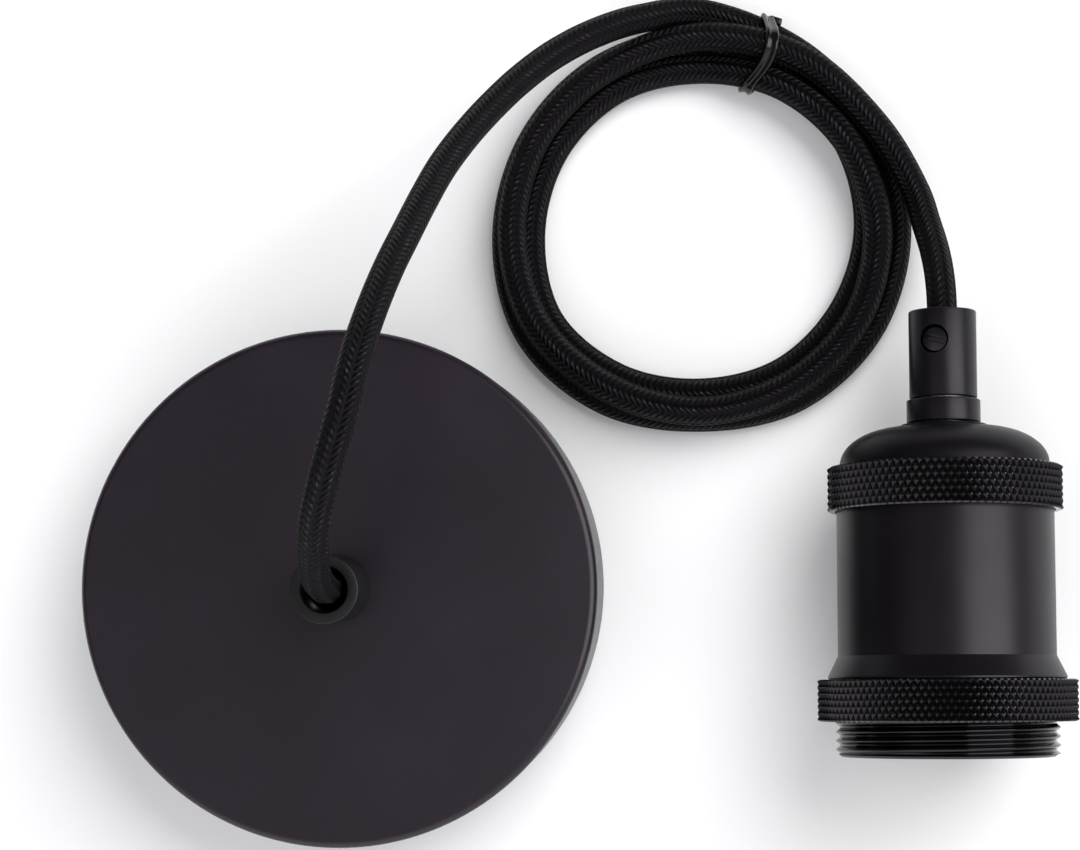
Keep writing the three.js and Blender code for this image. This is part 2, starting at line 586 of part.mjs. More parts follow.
// The turned shell of the holder: sleeve, rings, dome, neck and cord grip, along Z from the mouth
function buildHolderShell(parent) {
  const threadRows = [];
  for (let i = 0; i < THREAD_CRESTS; i += 1) {
    const z = (i + 0.5) * THREAD_PITCH;
    threadRows.push([SLEEVE_R - THREAD_SUNK, z - THREAD_PITCH / 2], [SLEEVE_R + THREAD_PROUD, z]);
  }
  const sleeve = turned([
    [skirtBoreR, 0],
    ...threadRows,
    [SLEEVE_R - THREAD_SUNK, THREAD_CRESTS * THREAD_PITCH],
    [SLEEVE_R, THREAD_LENGTH],
    [SLEEVE_R, flareStart],
    [flareR, flareStart],
    [flareR, flareStart + FLARE_LENGTH / 8],
    [SLEEVE_R, flareEnd],
    [SLEEVE_R, sleeveEnd],
    [rearBoreR, sleeveEnd],
    [rearBoreR, INSERT_SEAT],
    [skirtBoreR, INSERT_SEAT],
  ], 38);
  addPart(parent, 'body_sleeve', sleeve, materials.holderBlack);

  const ringBore = SLEEVE_R + CLEAR;
  const shadeRing = knurledRing(shadeRingR, SHADE_RING_LENGTH, [[ringBore, SHADE_RING_LENGTH], [ringBore, 0]]);
  addPart(parent, 'shade_ring', shadeRing, materials.holderBlack).position.z = shadeRingStart;

  const lipR = domeR + CLEAR;
  const lipHeight = domeFlangeEnd + CLEAR - couplingStart;
  const coupling = knurledRing(couplingRingR, COUPLING_RING_LENGTH, [
    [lipR, COUPLING_RING_LENGTH],
    [lipR, lipHeight],
    [ringBore, lipHeight],
    [ringBore, 0],
  ]);
  addPart(parent, 'coupling_ring', coupling, materials.holderBlack).position.z = couplingStart;

  const holeR = NIPPLE_R + CLEAR;
  const shoulder = couplingEnd + DOME_STRAIGHT;
  const stepBase = domeEnd - DOME_STEP;
  const innerR = domeR - DOME_WALL;
  const dome = turned([
    [innerR, domeFlangeStart],
    [SLEEVE_R, domeFlangeStart],
    [SLEEVE_R, domeFlangeEnd],
    [domeR, domeFlangeEnd],
    ...arc(DOME_STEP_R, shoulder, domeR - DOME_STEP_R, stepBase - shoulder, 0, 90, 5),
    [DOME_STEP_R - DOME_STEP / 2, domeEnd],
    [holeR, domeEnd],
    [holeR, stepBase - DOME_WALL],
    ...arc(DOME_STEP_R, shoulder, innerR - DOME_STEP_R, stepBase - shoulder - DOME_WALL, 90, 0, 4),
  ], 38);
  addPart(parent, 'dome_cap', dome, materials.holderBlack);

  const neckEdge = DOME_STEP / 2;
  addPart(parent, 'neck_nut', turned([
    [holeR, neckStart],
    [NECK_R, neckStart],
    [NECK_R, neckEnd - neckEdge],
    [NECK_R - neckEdge, neckEnd],
    [holeR, neckEnd],
  ], 28), materials.holderBlack);

  const passR = CORD_R + CLEAR;
  const gripBody = turned([
    [holeR, gripStart],
    [GRIP_R, gripStart],
    [GRIP_R, gripEnd],
    [passR, gripEnd],
    [passR, nippleEnd + CLEAR],
    [holeR, nippleEnd + CLEAR],
  ], 28);
  const screwStation = gripEnd - GRIP_SCREW_INSET;
  const outward = new THREE.Vector3(-Math.sin(GRIP_SCREW_LEAN), -Math.cos(GRIP_SCREW_LEAN), 0);
  const turn = new THREE.Quaternion().setFromUnitVectors(new THREE.Vector3(0, 0, 1), outward);
  const hole = bar(GRIP_SCREW_R + CLEAR, 0, GRIP_R + 2, 20)
    .applyQuaternion(turn)
    .translate(0, 0, screwStation);
  addPart(parent, 'cord_grip', cut(gripBody, hole), materials.holderBlack);

  const headR = GRIP_R - GRIP_SCREW_SUNK;
  const gripScrewShape = grubScrew(GRIP_SCREW_R, headR - passR);
  const gripScrew = addPart(parent, 'grip_screw', gripScrewShape, materials.holderBlack);
  gripScrew.position.copy(outward).multiplyScalar(headR).setZ(screwStation);
  gripScrew.quaternion.copy(turn);

  addPart(parent, 'hollow_nipple', turned([
    [passR, nippleStart],
    [NIPPLE_R, nippleStart],
    [NIPPLE_R, nippleEnd],
    [passR, nippleEnd],
  ], 24), materials.steel);
  const tagEnd = stepBase - DOME_WALL - CLEAR;
  const tagStart = tagEnd - TAG_THICK;
  const tag = cut(bar(TAG_R, tagStart, tagEnd, 24), bar(holeR, tagStart - 1, tagEnd + 1, 24));
  addPart(parent, 'earth_tag', tag, materials.brass);
  const nutEnd = tagStart - CLEAR;
  const nut = hexNut(NIPPLE_NUT_FLATS, holeR, nutEnd - NIPPLE_NUT_THICK, nutEnd);
  addPart(parent, 'nipple_nut', nut, materials.steel);
}

// The ceramic insert with its threaded shell, contact, terminals and cores
function buildSocket(parent) {
  const skirtR = skirtBoreR - CLEAR;
  const flangeR = rearBoreR - CLEAR;
  const seat = INSERT_SEAT + CLEAR;
  const rimR = flangeR - SOCKET_RIM_WALL;
  addPart(parent, 'socket_insert', turned([
    [0, SOCKET_FLOOR],
    [SOCKET_CAVITY_R, SOCKET_FLOOR],
    [SOCKET_CAVITY_R, SOCKET_MOUTH],
    [skirtR, SOCKET_MOUTH],
    [skirtR, seat],
    [flangeR, seat],
    [flangeR, sleeveEnd],
    [rimR, sleeveEnd],
    [rimR, SOCKET_BASE],
    [0, SOCKET_BASE],
  ], 32), materials.ceramic);

  const shellEnd = SOCKET_FLOOR - CLEAR;
  const ridgeStart = shellEnd - SHELL_SHEET - SHELL_RIDGES * SHELL_PITCH;
  const lowR = SHELL_R - SHELL_RIDGE / 2;
  const highR = SHELL_R + SHELL_RIDGE / 2;
  const outside = [];
  const inside = [];
  for (let i = 0; i < SHELL_RIDGES; i += 1) {
    const z = ridgeStart + i * SHELL_PITCH;
    outside.push([lowR + SHELL_SHEET, z], [highR + SHELL_SHEET / 2, z + SHELL_PITCH / 2]);
    inside.unshift([lowR, z], [highR - SHELL_SHEET / 2, z - SHELL_PITCH / 2]);
  }
  inside.pop();
  addPart(parent, 'screw_shell', turned([
    ...outside,
    [SHELL_R, shellEnd],
    [SHELL_FLOOR_R, shellEnd],
    [SHELL_FLOOR_R, shellEnd - SHELL_SHEET],
    [lowR, shellEnd - SHELL_SHEET],
    ...inside,
  ], 24), materials.brass);

  const tongue = new THREE.Shape();
  const reach = CONTACT_REACH;
  tongue.moveTo(-reach, 0);
  tongue.lineTo(reach / 2, 0);
  tongue.lineTo(reach, CONTACT_RISE - CONTACT_SHEET);
  tongue.lineTo(-reach / 3, CONTACT_RISE);
  tongue.lineTo(-reach / 3, CONTACT_RISE - CONTACT_SHEET);
  tongue.lineTo(reach - 2 * CONTACT_SHEET, CONTACT_RISE - 2 * CONTACT_SHEET);
  tongue.lineTo(reach / 2 - CONTACT_SHEET / 2, CONTACT_SHEET);
  tongue.lineTo(-reach, CONTACT_SHEET);
  const contact = new THREE.ExtrudeGeometry(tongue, { depth: CONTACT_WIDTH, bevelEnabled: false })
    .translate(0, 0, -CONTACT_WIDTH / 2)
    .rotateX(-Math.PI / 2);
  addPart(parent, 'centre_contact', contact, materials.brass).position.z = SOCKET_FLOOR - CLEAR;

  const blockBase = SOCKET_BASE + CLEAR;
  const blockTop = blockBase + BLOCK_SIZE.z;
  const below = cordEndStation - CLEAR;
  const sides = [['live', -1, materials.coreBrown, 'brown'], ['neutral', 1, materials.coreBlue, 'blue']];
  for (const [name, side, coreMaterial, colour] of sides) {
    const body = block(BLOCK_SIZE.x, BLOCK_SIZE.y, BLOCK_SIZE.z, 0, 0, BLOCK_SIZE.z / 2);
    const hole = bar(BLOCK_SCREW_R + CLEAR, BLOCK_SIZE.z / 4, BLOCK_SIZE.z + 1, 12)
      .translate(0, BLOCK_SIZE.y / 4, 0);
    const terminal = addPart(parent, `${name}_terminal`, cut(body, hole), materials.brass);
    terminal.position.set(side * BLOCK_OFFSET, 0, blockBase);
    const screw = headedScrew(BLOCK_SCREW_R, BLOCK_SIZE.z / 2, BLOCK_SCREW_HEAD_R, BLOCK_SCREW_HEAD);
    const screwMesh = addPart(parent, `${name}_screw`, screw, materials.steel);
    screwMesh.position.set(side * BLOCK_OFFSET, BLOCK_SIZE.y / 4, blockTop + CLEAR);
    const points = [
      new THREE.Vector3(side * CORE_RING_R, 0, below),
      new THREE.Vector3(side * CORE_RING_R, 0, below - 1),
      new THREE.Vector3(side * CORE_RING_R * 2, -0.6, below - 2.4),
      new THREE.Vector3(side * BLOCK_OFFSET, -BLOCK_SIZE.y / 4, blockTop + 2),
      new THREE.Vector3(side * BLOCK_OFFSET, -BLOCK_SIZE.y / 4, blockTop + CLEAR),
    ];
    addPart(parent, `holder_core_${colour}`, tube(points, CORE_R, 8, 10), coreMaterial);
  }
  const tagUnder = domeEnd - DOME_STEP - DOME_WALL - 2 * CLEAR - TAG_THICK;
  const tagSpot = (TAG_R + NIPPLE_NUT_FLATS / Math.sqrt(3)) / 2 + CORE_R;
  const earthRoute = [
    new THREE.Vector3(0, CORE_RING_R, below),
    new THREE.Vector3(0, CORE_RING_R, below - 1),
    new THREE.Vector3(0, CORE_RING_R * 2, below - 2.4),
    new THREE.Vector3(0, tagSpot, below - 1),
    new THREE.Vector3(0, tagSpot + 0.6, tagUnder - 3),
    new THREE.Vector3(0, tagSpot, tagUnder),
  ];
  addPart(parent, 'holder_core_earth', tube(earthRoute, CORE_R, 8, 12), materials.coreEarth);
}

const pendant = new THREE.Group();
buildCanopy(pendant);
buildGland(pendant);
buildCanopyWiring(pendant);

const holder = new THREE.Group();
holder.position.set(HOLDER_MOUTH.x, HOLDER_MOUTH.y, mouthHeight);
holder.rotation.set(-Math.PI / 2 - holderTilt, 0, HOLDER_LEAN, 'ZYX');
pendant.add(holder);
buildHolderShell(holder);
buildSocket(holder);

pendant.updateMatrixWorld(true);
buildCord(pendant, (station) => holder.localToWorld(new THREE.Vector3(0, 0, station)));

export default pendant;
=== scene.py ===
"""Looks for the pendant cord set: ceiling canopy, braided cord tied in a coil, turned lamp holder.

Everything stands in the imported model's frame. Sizes below are in millimetres and become metres
as each mesh is placed.
"""
import logging
import math
from dataclasses import dataclass, field
from enum import Enum
from typing import Iterable, Sequence

import bmesh
import bpy
from mathutils import Euler, Matrix, Vector


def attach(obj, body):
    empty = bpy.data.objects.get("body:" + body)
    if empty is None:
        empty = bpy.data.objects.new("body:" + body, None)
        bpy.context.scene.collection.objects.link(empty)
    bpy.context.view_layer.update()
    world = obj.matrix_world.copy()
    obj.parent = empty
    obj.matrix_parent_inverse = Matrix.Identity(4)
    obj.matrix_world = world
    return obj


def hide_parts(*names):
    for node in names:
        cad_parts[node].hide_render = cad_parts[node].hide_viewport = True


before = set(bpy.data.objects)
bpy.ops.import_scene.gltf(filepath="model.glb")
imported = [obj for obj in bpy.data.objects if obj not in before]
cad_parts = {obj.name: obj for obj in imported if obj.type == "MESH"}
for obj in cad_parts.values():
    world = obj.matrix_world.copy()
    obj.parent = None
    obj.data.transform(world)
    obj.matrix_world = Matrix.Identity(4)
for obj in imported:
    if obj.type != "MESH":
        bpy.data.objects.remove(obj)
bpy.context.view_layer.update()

LOG = logging.getLogger("pendant_cord_set")
MM = 0.001  # in metres
CLEAR = 0.3  # the gap between fitted pieces
WELD = 1e-4  # vertices nearer than this become one
SHARP_ANGLE = 38.0  # in degrees
HOLE_SIDES = 40  # faces round a drilled hole

Profile = Sequence[tuple[float, float]]


class Corner(Enum):
    """How far a turned edge is broken, in millimetres."""

    CRISP = 0.12
    EASED = 0.3


class Shader:
    """A material's node tree round one Principled shader."""

    def __init__(self, name: str) -> None:
        """Starts an empty material.

        Args:
            name: the material's name.
        """
        self.material = bpy.data.materials.new(name)
        self.material.use_nodes = True
        self.nodes = self.material.node_tree.nodes
        self.links = self.material.node_tree.links
        self.bsdf = self.nodes["Principled BSDF"]

    def set(self, **values: object) -> None:
        """Sets the shader's own sockets, with underscores for the spaces in their names."""
        for key, value in values.items():
            self.bsdf.inputs[key.replace("_", " ")].default_value = value

    def add(self, kind: str, **settings: object) -> bpy.types.Node:
        """Adds a node of a kind.

        Args:
            kind: the node's type name without its prefix.
            settings: properties, or input sockets by their names with underscores for spaces.

        Returns:
            The new node.
        """
        node = self.nodes.new("ShaderNode" + kind)
        for key, value in settings.items():
            socket = node.inputs.get(key.replace("_", " "))
            if hasattr(node, key):
                setattr(node, key, value)
            else:
                socket.default_value = value
        return node

    def math(self, operation: str, first: object, second: object = 0.0, clamp: bool = False) -> object:
        """Adds a Math node on two values or sockets.

        Args:
            operation: the Math node's operation.
            first: a number or an output socket.
            second: a number or an output socket.
            clamp: keeps the result between 0 and 1.

        Returns:
            The node's output socket.
        """
        node = self.add("Math", operation=operation, use_clamp=clamp)
        for place, value in enumerate((first, second)):
            if isinstance(value, (int, float)):
                node.inputs[place].default_value = value
            else:
                self.links.new(value, node.inputs[place])
        return node.outputs[0]

    def noise(self, scale: float, detail: float = 3.0, stretch: tuple = (1, 1, 1)) -> object:
        """Adds noise on the piece's own coordinates.

        Args:
            scale: cycles in a metre.
            detail: how many finer layers it has.
            stretch: how the coordinates are scaled along each axis.

        Returns:
            The noise's value socket.
        """
        place = self.add("TexCoord")
        mapping = self.add("Mapping", Scale=stretch)
        noise = self.add("TexNoise", Scale=scale, Detail=detail)
        self.links.new(place.outputs["Object"], mapping.inputs["Vector"])
        self.links.new(mapping.outputs["Vector"], noise.inputs["Vector"])
        return noise.outputs["Fac"]

    def blend(self, factor: object, stops: Sequence[tuple[float, tuple]]) -> object:
        """Turns a value into a colour.

        Args:
            factor: the value's socket.
            stops: positions and the colours at them.

        Returns:
            The colour socket.
        """
        ramp = self.add("ValToRGB")
        elements = ramp.color_ramp.elements
        while len(elements) < len(stops):
            elements.new(0.5)
        for element, (position, colour) in zip(elements, stops):
            element.position = position
            element.color = (*colour, 1.0)
        self.links.new(factor, ramp.inputs["Fac"])
        return ramp.outputs["Color"]

    def spread(self, factor: object, low: float, high: float) -> object:
        """Maps the middle of a noise's range to low and high.

        Args:
            factor: the value's socket.
            low: the result for a value of 0.3 or less.
            high: the result for a value of 0.7 or more.

        Returns:
            The result's socket.
        """
        node = self.add("MapRange")
        for key, value in (("From Min", 0.3), ("From Max", 0.7), ("To Min", low), ("To Max", high)):
            node.inputs[key].default_value = value
        self.links.new(factor, node.inputs["Value"])
        return node.outputs["Result"]

    def colour(self, socket: object) -> None:
        """Joins a colour socket to the shader."""
        self.links.new(socket, self.bsdf.inputs["Base Color"])

    def roughness(self, socket: object) -> None:
        """Joins a value socket to the shader's roughness."""
        self.links.new(socket, self.bsdf.inputs["Roughness"])

    def bump(self, height: object, depth: float, strength: float = 1.0) -> None:
        """Adds relief over any that is there.

        Args:
            height: the height socket, 0 to 1.
            depth: the relief's depth in metres.
            strength: how much of it shows.
        """
        node = self.add("Bump", Distance=depth, Strength=strength)
        self.links.new(height, node.inputs["Height"])
        normal = self.bsdf.inputs["Normal"]
        if normal.is_linked:
            self.links.new(normal.links[0].from_socket, node.inputs["Normal"])
        self.links.new(node.outputs["Normal"], normal)


def tinted(colour: tuple, factor: float) -> tuple:
    """A colour made lighter or darker by a factor."""
    return tuple(min(1.0, c * factor) for c in colour)


@dataclass(frozen=True)
class Finish:
    """One surface finish, with its material's name and its slot. The material is made once."""

    name: str
    slot: str

    def build(self, shader: Shader) -> None:
        """Fills the shader's tree."""
        raise NotImplementedError

    def material(self) -> bpy.types.Material:
        """The finish's material, made at first use.

        Returns:
            The material.
        """
        found = bpy.data.materials.get(self.name)
        if found:
            return found
        shader = Shader(self.name)
        self.build(shader)
        return shader.material


@dataclass(frozen=True)
class SatinCoat(Finish):
    """Fine-grained black coating over metal, a little uneven in tone and gloss."""

    colour: tuple
    rough: float
    shine: float
    grain: float = 2600.0
    depth: float = 0.000012
    mottle: float = 38.0
    coat: float = 0.0

    def build(self, shader: Shader) -> None:
        """Broad cloudy tone, small pinpoints in the colour, and grain in the relief.

        Args:
            shader: the material's shader.
        """
        cloud = shader.noise(self.mottle, detail=4.0)
        pins = shader.noise(self.grain * 0.45, detail=2.0)
        mixed = shader.math("ADD", shader.math("MULTIPLY", cloud, 0.75), shader.math("MULTIPLY", pins, 0.25))
        shader.colour(shader.blend(mixed, (
            (0.3, tinted(self.colour, 0.8)),
            (0.52, self.colour),
            (0.72, tinted(self.colour, 1.35)),
        )))
        shader.roughness(shader.spread(cloud, self.rough - 0.04, self.rough + 0.05))
        shader.set(Specular_IOR_Level=self.shine, Specular_Tint=(1.0, 0.92, 1.0, 1.0),
                   Coat_Weight=self.coat, Coat_Roughness=0.25)
        shader.bump(shader.noise(self.grain), self.depth)


@dataclass(frozen=True)
class MouldedPlastic(Finish):
    """Moulded plastic with a faint skin texture."""

    colour: tuple
    rough: float
    shine: float = 0.32
    grain: float = 1500.0
    depth: float = 0.00001

    def build(self, shader: Shader) -> None:
        """Slightly uneven colour and gloss over a fine skin.

        Args:
            shader: the material's shader.
        """
        patch = shader.noise(90.0)
        shader.colour(shader.blend(patch, (
            (0.3, tinted(self.colour, 0.86)),
            (0.7, tinted(self.colour, 1.12)),
        )))
        shader.roughness(shader.spread(patch, self.rough - 0.06, self.rough + 0.06))
        shader.set(Specular_IOR_Level=self.shine)
        shader.bump(shader.noise(self.grain, detail=2.0), self.depth)


@dataclass(frozen=True)
class BareMetal(Finish):
    """Brass or plated steel with fine scratches across the Y axis."""

    colour: tuple
    rough: float
    stretch: tuple = (1, 14, 1)

    def build(self, shader: Shader) -> None:
        """Long scratches in the gloss and the relief, and dull patches in the colour.

        Args:
            shader: the material's shader.
        """
        scratch = shader.noise(900.0, detail=2.0, stretch=self.stretch)
        patch = shader.noise(120.0, detail=4.0)
        shader.set(Metallic=1.0)
        shader.colour(shader.blend(patch, (
            (0.35, tinted(self.colour, 0.78)),
            (0.65, self.colour),
        )))
        shader.roughness(shader.spread(scratch, self.rough - 0.07, self.rough + 0.1))
        shader.bump(scratch, depth=0.000006)


@dataclass(frozen=True)
class Glaze(Finish):
    """Off-white glazed ceramic."""

    colour: tuple = (0.82, 0.79, 0.72)

    def build(self, shader: Shader) -> None:
        """Warm clouds in the body and a low orange-peel glaze.

        Args:
            shader: the material's shader.
        """
        cloud = shader.noise(160.0, detail=5.0)
        shader.colour(shader.blend(cloud, (
            (0.3, tinted(self.colour, 0.9)),
            (0.6, self.colour),
        )))
        shader.roughness(shader.spread(cloud, 0.22, 0.34))
        shader.set(Coat_Weight=0.4, Coat_Roughness=0.12)
        shader.bump(shader.noise(700.0, detail=1.0), depth=0.00002, strength=0.4)


@dataclass(frozen=True)
class CoreSheath(Finish):
    """Coloured core insulation, with a second colour in stripes where the core is for earth."""

    colour: tuple
    stripe: tuple | None = None

    def build(self, shader: Shader) -> None:
        """A slightly uneven glossy sheath, striped across where there is a second colour.

        Args:
            shader: the material's shader.
        """
        if self.stripe:
            place = shader.add("TexCoord")
            wave = shader.add("TexWave", bands_direction="X", Scale=90.0, Distortion=0.6)
            shader.links.new(place.outputs["Object"], wave.inputs["Vector"])
            shader.colour(shader.blend(wave.outputs["Fac"], (
                (0.47, self.colour),
                (0.53, self.stripe),
            )))
        else:
            shader.colour(shader.blend(shader.noise(300.0), (
                (0.3, tinted(self.colour, 0.85)),
                (0.7, tinted(self.colour, 1.1)),
            )))
        shader.roughness(shader.spread(shader.noise(600.0, detail=2.0), 0.34, 0.46))
        shader.bump(shader.noise(1200.0, detail=2.0), depth=0.00001)


@dataclass(frozen=True)
class BraidedTextile(Finish):
    """Herringbone braid. The piece's UV map holds millimetres along the cord, and turns round it.

    A bead is the length of one stitch, slant its lean in stitches, and yarns lie side by side in it.
    """

    colour: tuple = (0.0016, 0.0014, 0.0017)
    bead: float = 1.25
    ribs: int = 8
    slant: float = 0.72
    yarns: int = 4

    def build(self, shader: Shader) -> None:
        """Slanted beads in ribs, yarns along each bead, and loose fibre on top, with painted highlights on
        the bead crowns and painted shade in the grooves.

        Args:
            shader: the material's shader.
        """
        uv = shader.add("UVMap")
        split = shader.add("SeparateXYZ")
        shader.links.new(uv.outputs["UV"], split.inputs["Vector"])
        along, round_ = split.outputs["X"], split.outputs["Y"]
        turn = shader.math("MULTIPLY", round_, float(self.ribs))
        rib = shader.math("FRACT", turn)
        centred = shader.math("SUBTRACT", rib, 0.5)
        odd = shader.math("GREATER_THAN", shader.math("FRACT", shader.math("MULTIPLY", turn, 0.5)), 0.5)
        way = shader.math("SUBTRACT", shader.math("MULTIPLY", odd, 2.0), 1.0)
        lean = shader.math("MULTIPLY", shader.math("MULTIPLY", centred, way), self.slant * 2.0)
        phase = shader.math("ADD", shader.math("DIVIDE", along, self.bead), lean)
        wave = shader.math("COSINE", shader.math("MULTIPLY", phase, 2.0 * math.pi))
        bead = shader.math("POWER", shader.math("ADD", shader.math("MULTIPLY", wave, 0.5), 0.5), 0.8)
        crown = shader.math("POWER", shader.math("SINE", shader.math("MULTIPLY", rib, math.pi)), 0.7)
        height = shader.math("MULTIPLY", bead, crown)
        strand = shader.math("MULTIPLY", shader.math("ADD", phase, centred), 2.0 * math.pi * self.yarns)
        yarn = shader.math("ADD", shader.math("MULTIPLY", shader.math("SINE", strand), 0.5), 0.5)
        fibre = shader.noise(4200.0)
        glint_patches = shader.noise(260.0)
        # Painted highlight and painted shade: on the crowns of the beads in each rib's row the colour rises
        # up to sixty times the base as glints, broken up by noise, and in the grooves it falls to a quarter
        # of the base.
        row = shader.math("MULTIPLY", height, shader.math("POWER", crown, 5.0))
        painted_glint = shader.math("MULTIPLY", shader.math("MULTIPLY", row, shader.spread(fibre, 0.25, 1.0)),
                          shader.spread(glint_patches, 0.55, 1.0))
        shader.colour(shader.blend(painted_glint, (
            (0.0, tinted(self.colour, 0.25)),
            (0.25, self.colour),
            (0.5, tinted(self.colour, 12.0)),
            (0.85, tinted(self.colour, 60.0)),
        )))
        shader.roughness(shader.spread(fibre, 0.5, 0.66))
        shader.set(Specular_IOR_Level=0.13, Specular_Tint=(1.0, 0.9, 1.0, 1.0))
        shader.bump(shader.math("MULTIPLY", fibre, crown), depth=0.0001, strength=0.6)
        shader.bump(yarn, depth=0.00005, strength=0.7)
        shader.bump(height, depth=0.0004)


HOLDER_GRAIN = 3200.0  # cycles in a metre
HOLDER_MOTTLE = 60.0  # cycles in a metre
POWDER = SatinCoat("canopy_powder_coat", "powder_black", (0.0085, 0.0049, 0.0094), rough=0.48, shine=0.15,
                   coat=0.35)
HOLDER = SatinCoat("holder_satin_coat", "holder_black", (0.0022, 0.0017, 0.0026), rough=0.36, shine=0.25,
                   grain=HOLDER_GRAIN, depth=0.000008, mottle=HOLDER_MOTTLE)
DOME = SatinCoat("dome_satin_coat", "holder_black", (0.0022, 0.0017, 0.0026), rough=0.42, shine=0.14,
                 grain=HOLDER_GRAIN, depth=0.000008, mottle=HOLDER_MOTTLE)
# Painted shade: the knurled rings, the grip screw and the thread carry the holder's black at about half its
# colour, standing in for the shade in their grooves.
KNURLED = SatinCoat("knurl_gloss_coat", "holder_black", (0.001, 0.0009, 0.0011), rough=0.17, shine=0.5,
                    grain=HOLDER_GRAIN, depth=0.000004, mottle=HOLDER_MOTTLE)
THREAD = SatinCoat("thread_gloss_coat", "holder_black", (0.0008, 0.0007, 0.0009), rough=0.12, shine=0.24,
                   grain=HOLDER_GRAIN, depth=0.000002, mottle=HOLDER_MOTTLE)
GLAND = MouldedPlastic("gland_plastic", "gland_black", (0.006, 0.0056, 0.0066), rough=0.44, shine=0.24)
TIE = MouldedPlastic("tie_plastic", "tie_grey", (0.0018, 0.0018, 0.002), rough=0.22, shine=0.31, grain=900.0)
TEXTILE = BraidedTextile("braided_yarn", "textile_black")
STEEL = BareMetal("plated_steel", "steel", (0.62, 0.62, 0.6), rough=0.32)
DULL_STEEL = BareMetal("dull_zinc", "steel", (0.13, 0.135, 0.135), rough=0.5)
BRASS = BareMetal("drawn_brass", "brass", (0.72, 0.52, 0.22), rough=0.3)
PORCELAIN = Glaze("glazed_porcelain", "porcelain")
TERMINAL = MouldedPlastic("terminal_plastic", "terminal_white", (0.74, 0.72, 0.66), rough=0.48)
CORE_BROWN = CoreSheath("brown_sheath", "core_brown", (0.13, 0.045, 0.02))
CORE_BLUE = CoreSheath("blue_sheath", "core_blue", (0.02, 0.09, 0.38))
CORE_EARTH = CoreSheath("earth_sheath", "core_earth", (0.03, 0.24, 0.05), (0.72, 0.6, 0.03))


def broken(bm: bmesh.types.BMesh, geom: Sequence, offset: float, affect: str, segments: int,
           clamp: bool = False) -> None:
    """Bevels edges or corners of a mesh.

    Args:
        bm: the mesh.
        geom: its edges or vertices to break.
        offset: how far they are broken, in millimetres.
        affect: EDGES or VERTICES.
        segments: how many faces the break has.
        clamp: keeps neighbouring breaks from crossing.
    """
    bmesh.ops.bevel(bm, geom=geom, offset=offset, offset_type="OFFSET", affect=affect, segments=segments,
                    profile=0.5, material=-1, clamp_overlap=clamp)


def turned(profile: Profile, steps: int = 144, corner: Corner | None = Corner.CRISP) -> bmesh.types.BMesh:
    """Turns a profile round the Z axis.

    Args:
        profile: closed outline as radius and height pairs, or an open one that ends on the axis.
        steps: how many faces go round.
        corner: how far the profile's corners are broken before it is turned.

    Returns:
        The closed mesh, in millimetres.
    """
    bm = bmesh.new()
    points = [bm.verts.new((r, 0, z)) for r, z in profile]
    closed = profile[0][0] > 0 or profile[-1][0] > 0
    pairs = list(zip(points, points[1:] + points[:1])) if closed else list(zip(points, points[1:]))
    for a, b in pairs:
        bm.edges.new((a, b))
    if corner:
        sharp = [v for v in bm.verts if len(v.link_edges) == 2 and is_corner(v)]
        broken(bm, sharp, corner.value, "VERTICES", 3, clamp=True)
    bmesh.ops.spin(bm, geom=bm.verts[:] + bm.edges[:], cent=(0, 0, 0), axis=(0, 0, 1),
                   angle=2 * math.pi, steps=steps, use_merge=True)
    bmesh.ops.remove_doubles(bm, verts=bm.verts[:], dist=WELD)
    bmesh.ops.recalc_face_normals(bm, faces=bm.faces[:])
    return bm


def is_corner(vert: bmesh.types.BMVert, run: float = 0.45, turn: float = 150.0) -> bool:
    """Whether sides longer than run meet at a vertex at less than turn degrees."""
    first, second = ((e.other_vert(vert).co - vert.co) for e in vert.link_edges)
    return min(first.length, second.length) > run and math.degrees(first.angle(second)) < turn


def bar(radius: float, low: float, high: float, sides: int = 48) -> bmesh.types.BMesh:
    """A round bar along the Z axis.

    Args:
        radius: its radius.
        low: where it starts.
        high: where it ends.
        sides: how many faces go round.

    Returns:
        The closed mesh, in millimetres.
    """
    bm = bmesh.new()
    bmesh.ops.create_cone(bm, cap_ends=True, segments=sides, radius1=radius, radius2=radius, depth=high - low)
    bmesh.ops.translate(bm, verts=bm.verts[:], vec=(0, 0, (low + high) / 2))
    return bm


def grub_screw(radius: float, length: float) -> bmesh.types.BMesh:
    """A slotted headless screw along the Z axis, with its face at z = 0.

    Args:
        radius: the screw's radius.
        length: how far it reaches down.

    Returns:
        The closed mesh, in millimetres.
    """
    edge, half_slot, slot_depth, lip = radius * 0.14, radius * 0.17, radius * 0.55, radius * 0.06
    bm = bar(radius, -length, 0.0, sides=64)
    top = [e for e in bm.edges if all(abs(v.co.z) < WELD for v in e.verts)]
    broken(bm, top, edge, "EDGES", 2)
    for side in (-1, 1):
        bmesh.ops.bisect_plane(bm, geom=bm.verts[:] + bm.edges[:] + bm.faces[:], dist=1e-5,
                               plane_co=(0, side * half_slot, 0), plane_no=(0, 1, 0))
    slot = [f for f in bm.faces if f.normal.z > 0.5 and abs(f.calc_center_median().y) < half_slot - lip / 6]
    sunk = bmesh.ops.extrude_face_region(bm, geom=slot)
    moved = [v for v in sunk["geom"] if isinstance(v, bmesh.types.BMVert)]
    bmesh.ops.translate(bm, verts=moved, vec=(0, 0, -slot_depth))
    bmesh.ops.delete(bm, geom=slot, context="FACES")
    lips = [e for e in bm.edges if abs(e.verts[0].co.x - e.verts[1].co.x) > radius
            and all(abs(v.co.z) < WELD and abs(abs(v.co.y) - half_slot) < WELD for v in e.verts)]
    broken(bm, lips, lip, "EDGES", 2, clamp=True)
    bmesh.ops.recalc_face_normals(bm, faces=bm.faces[:])
    return bm


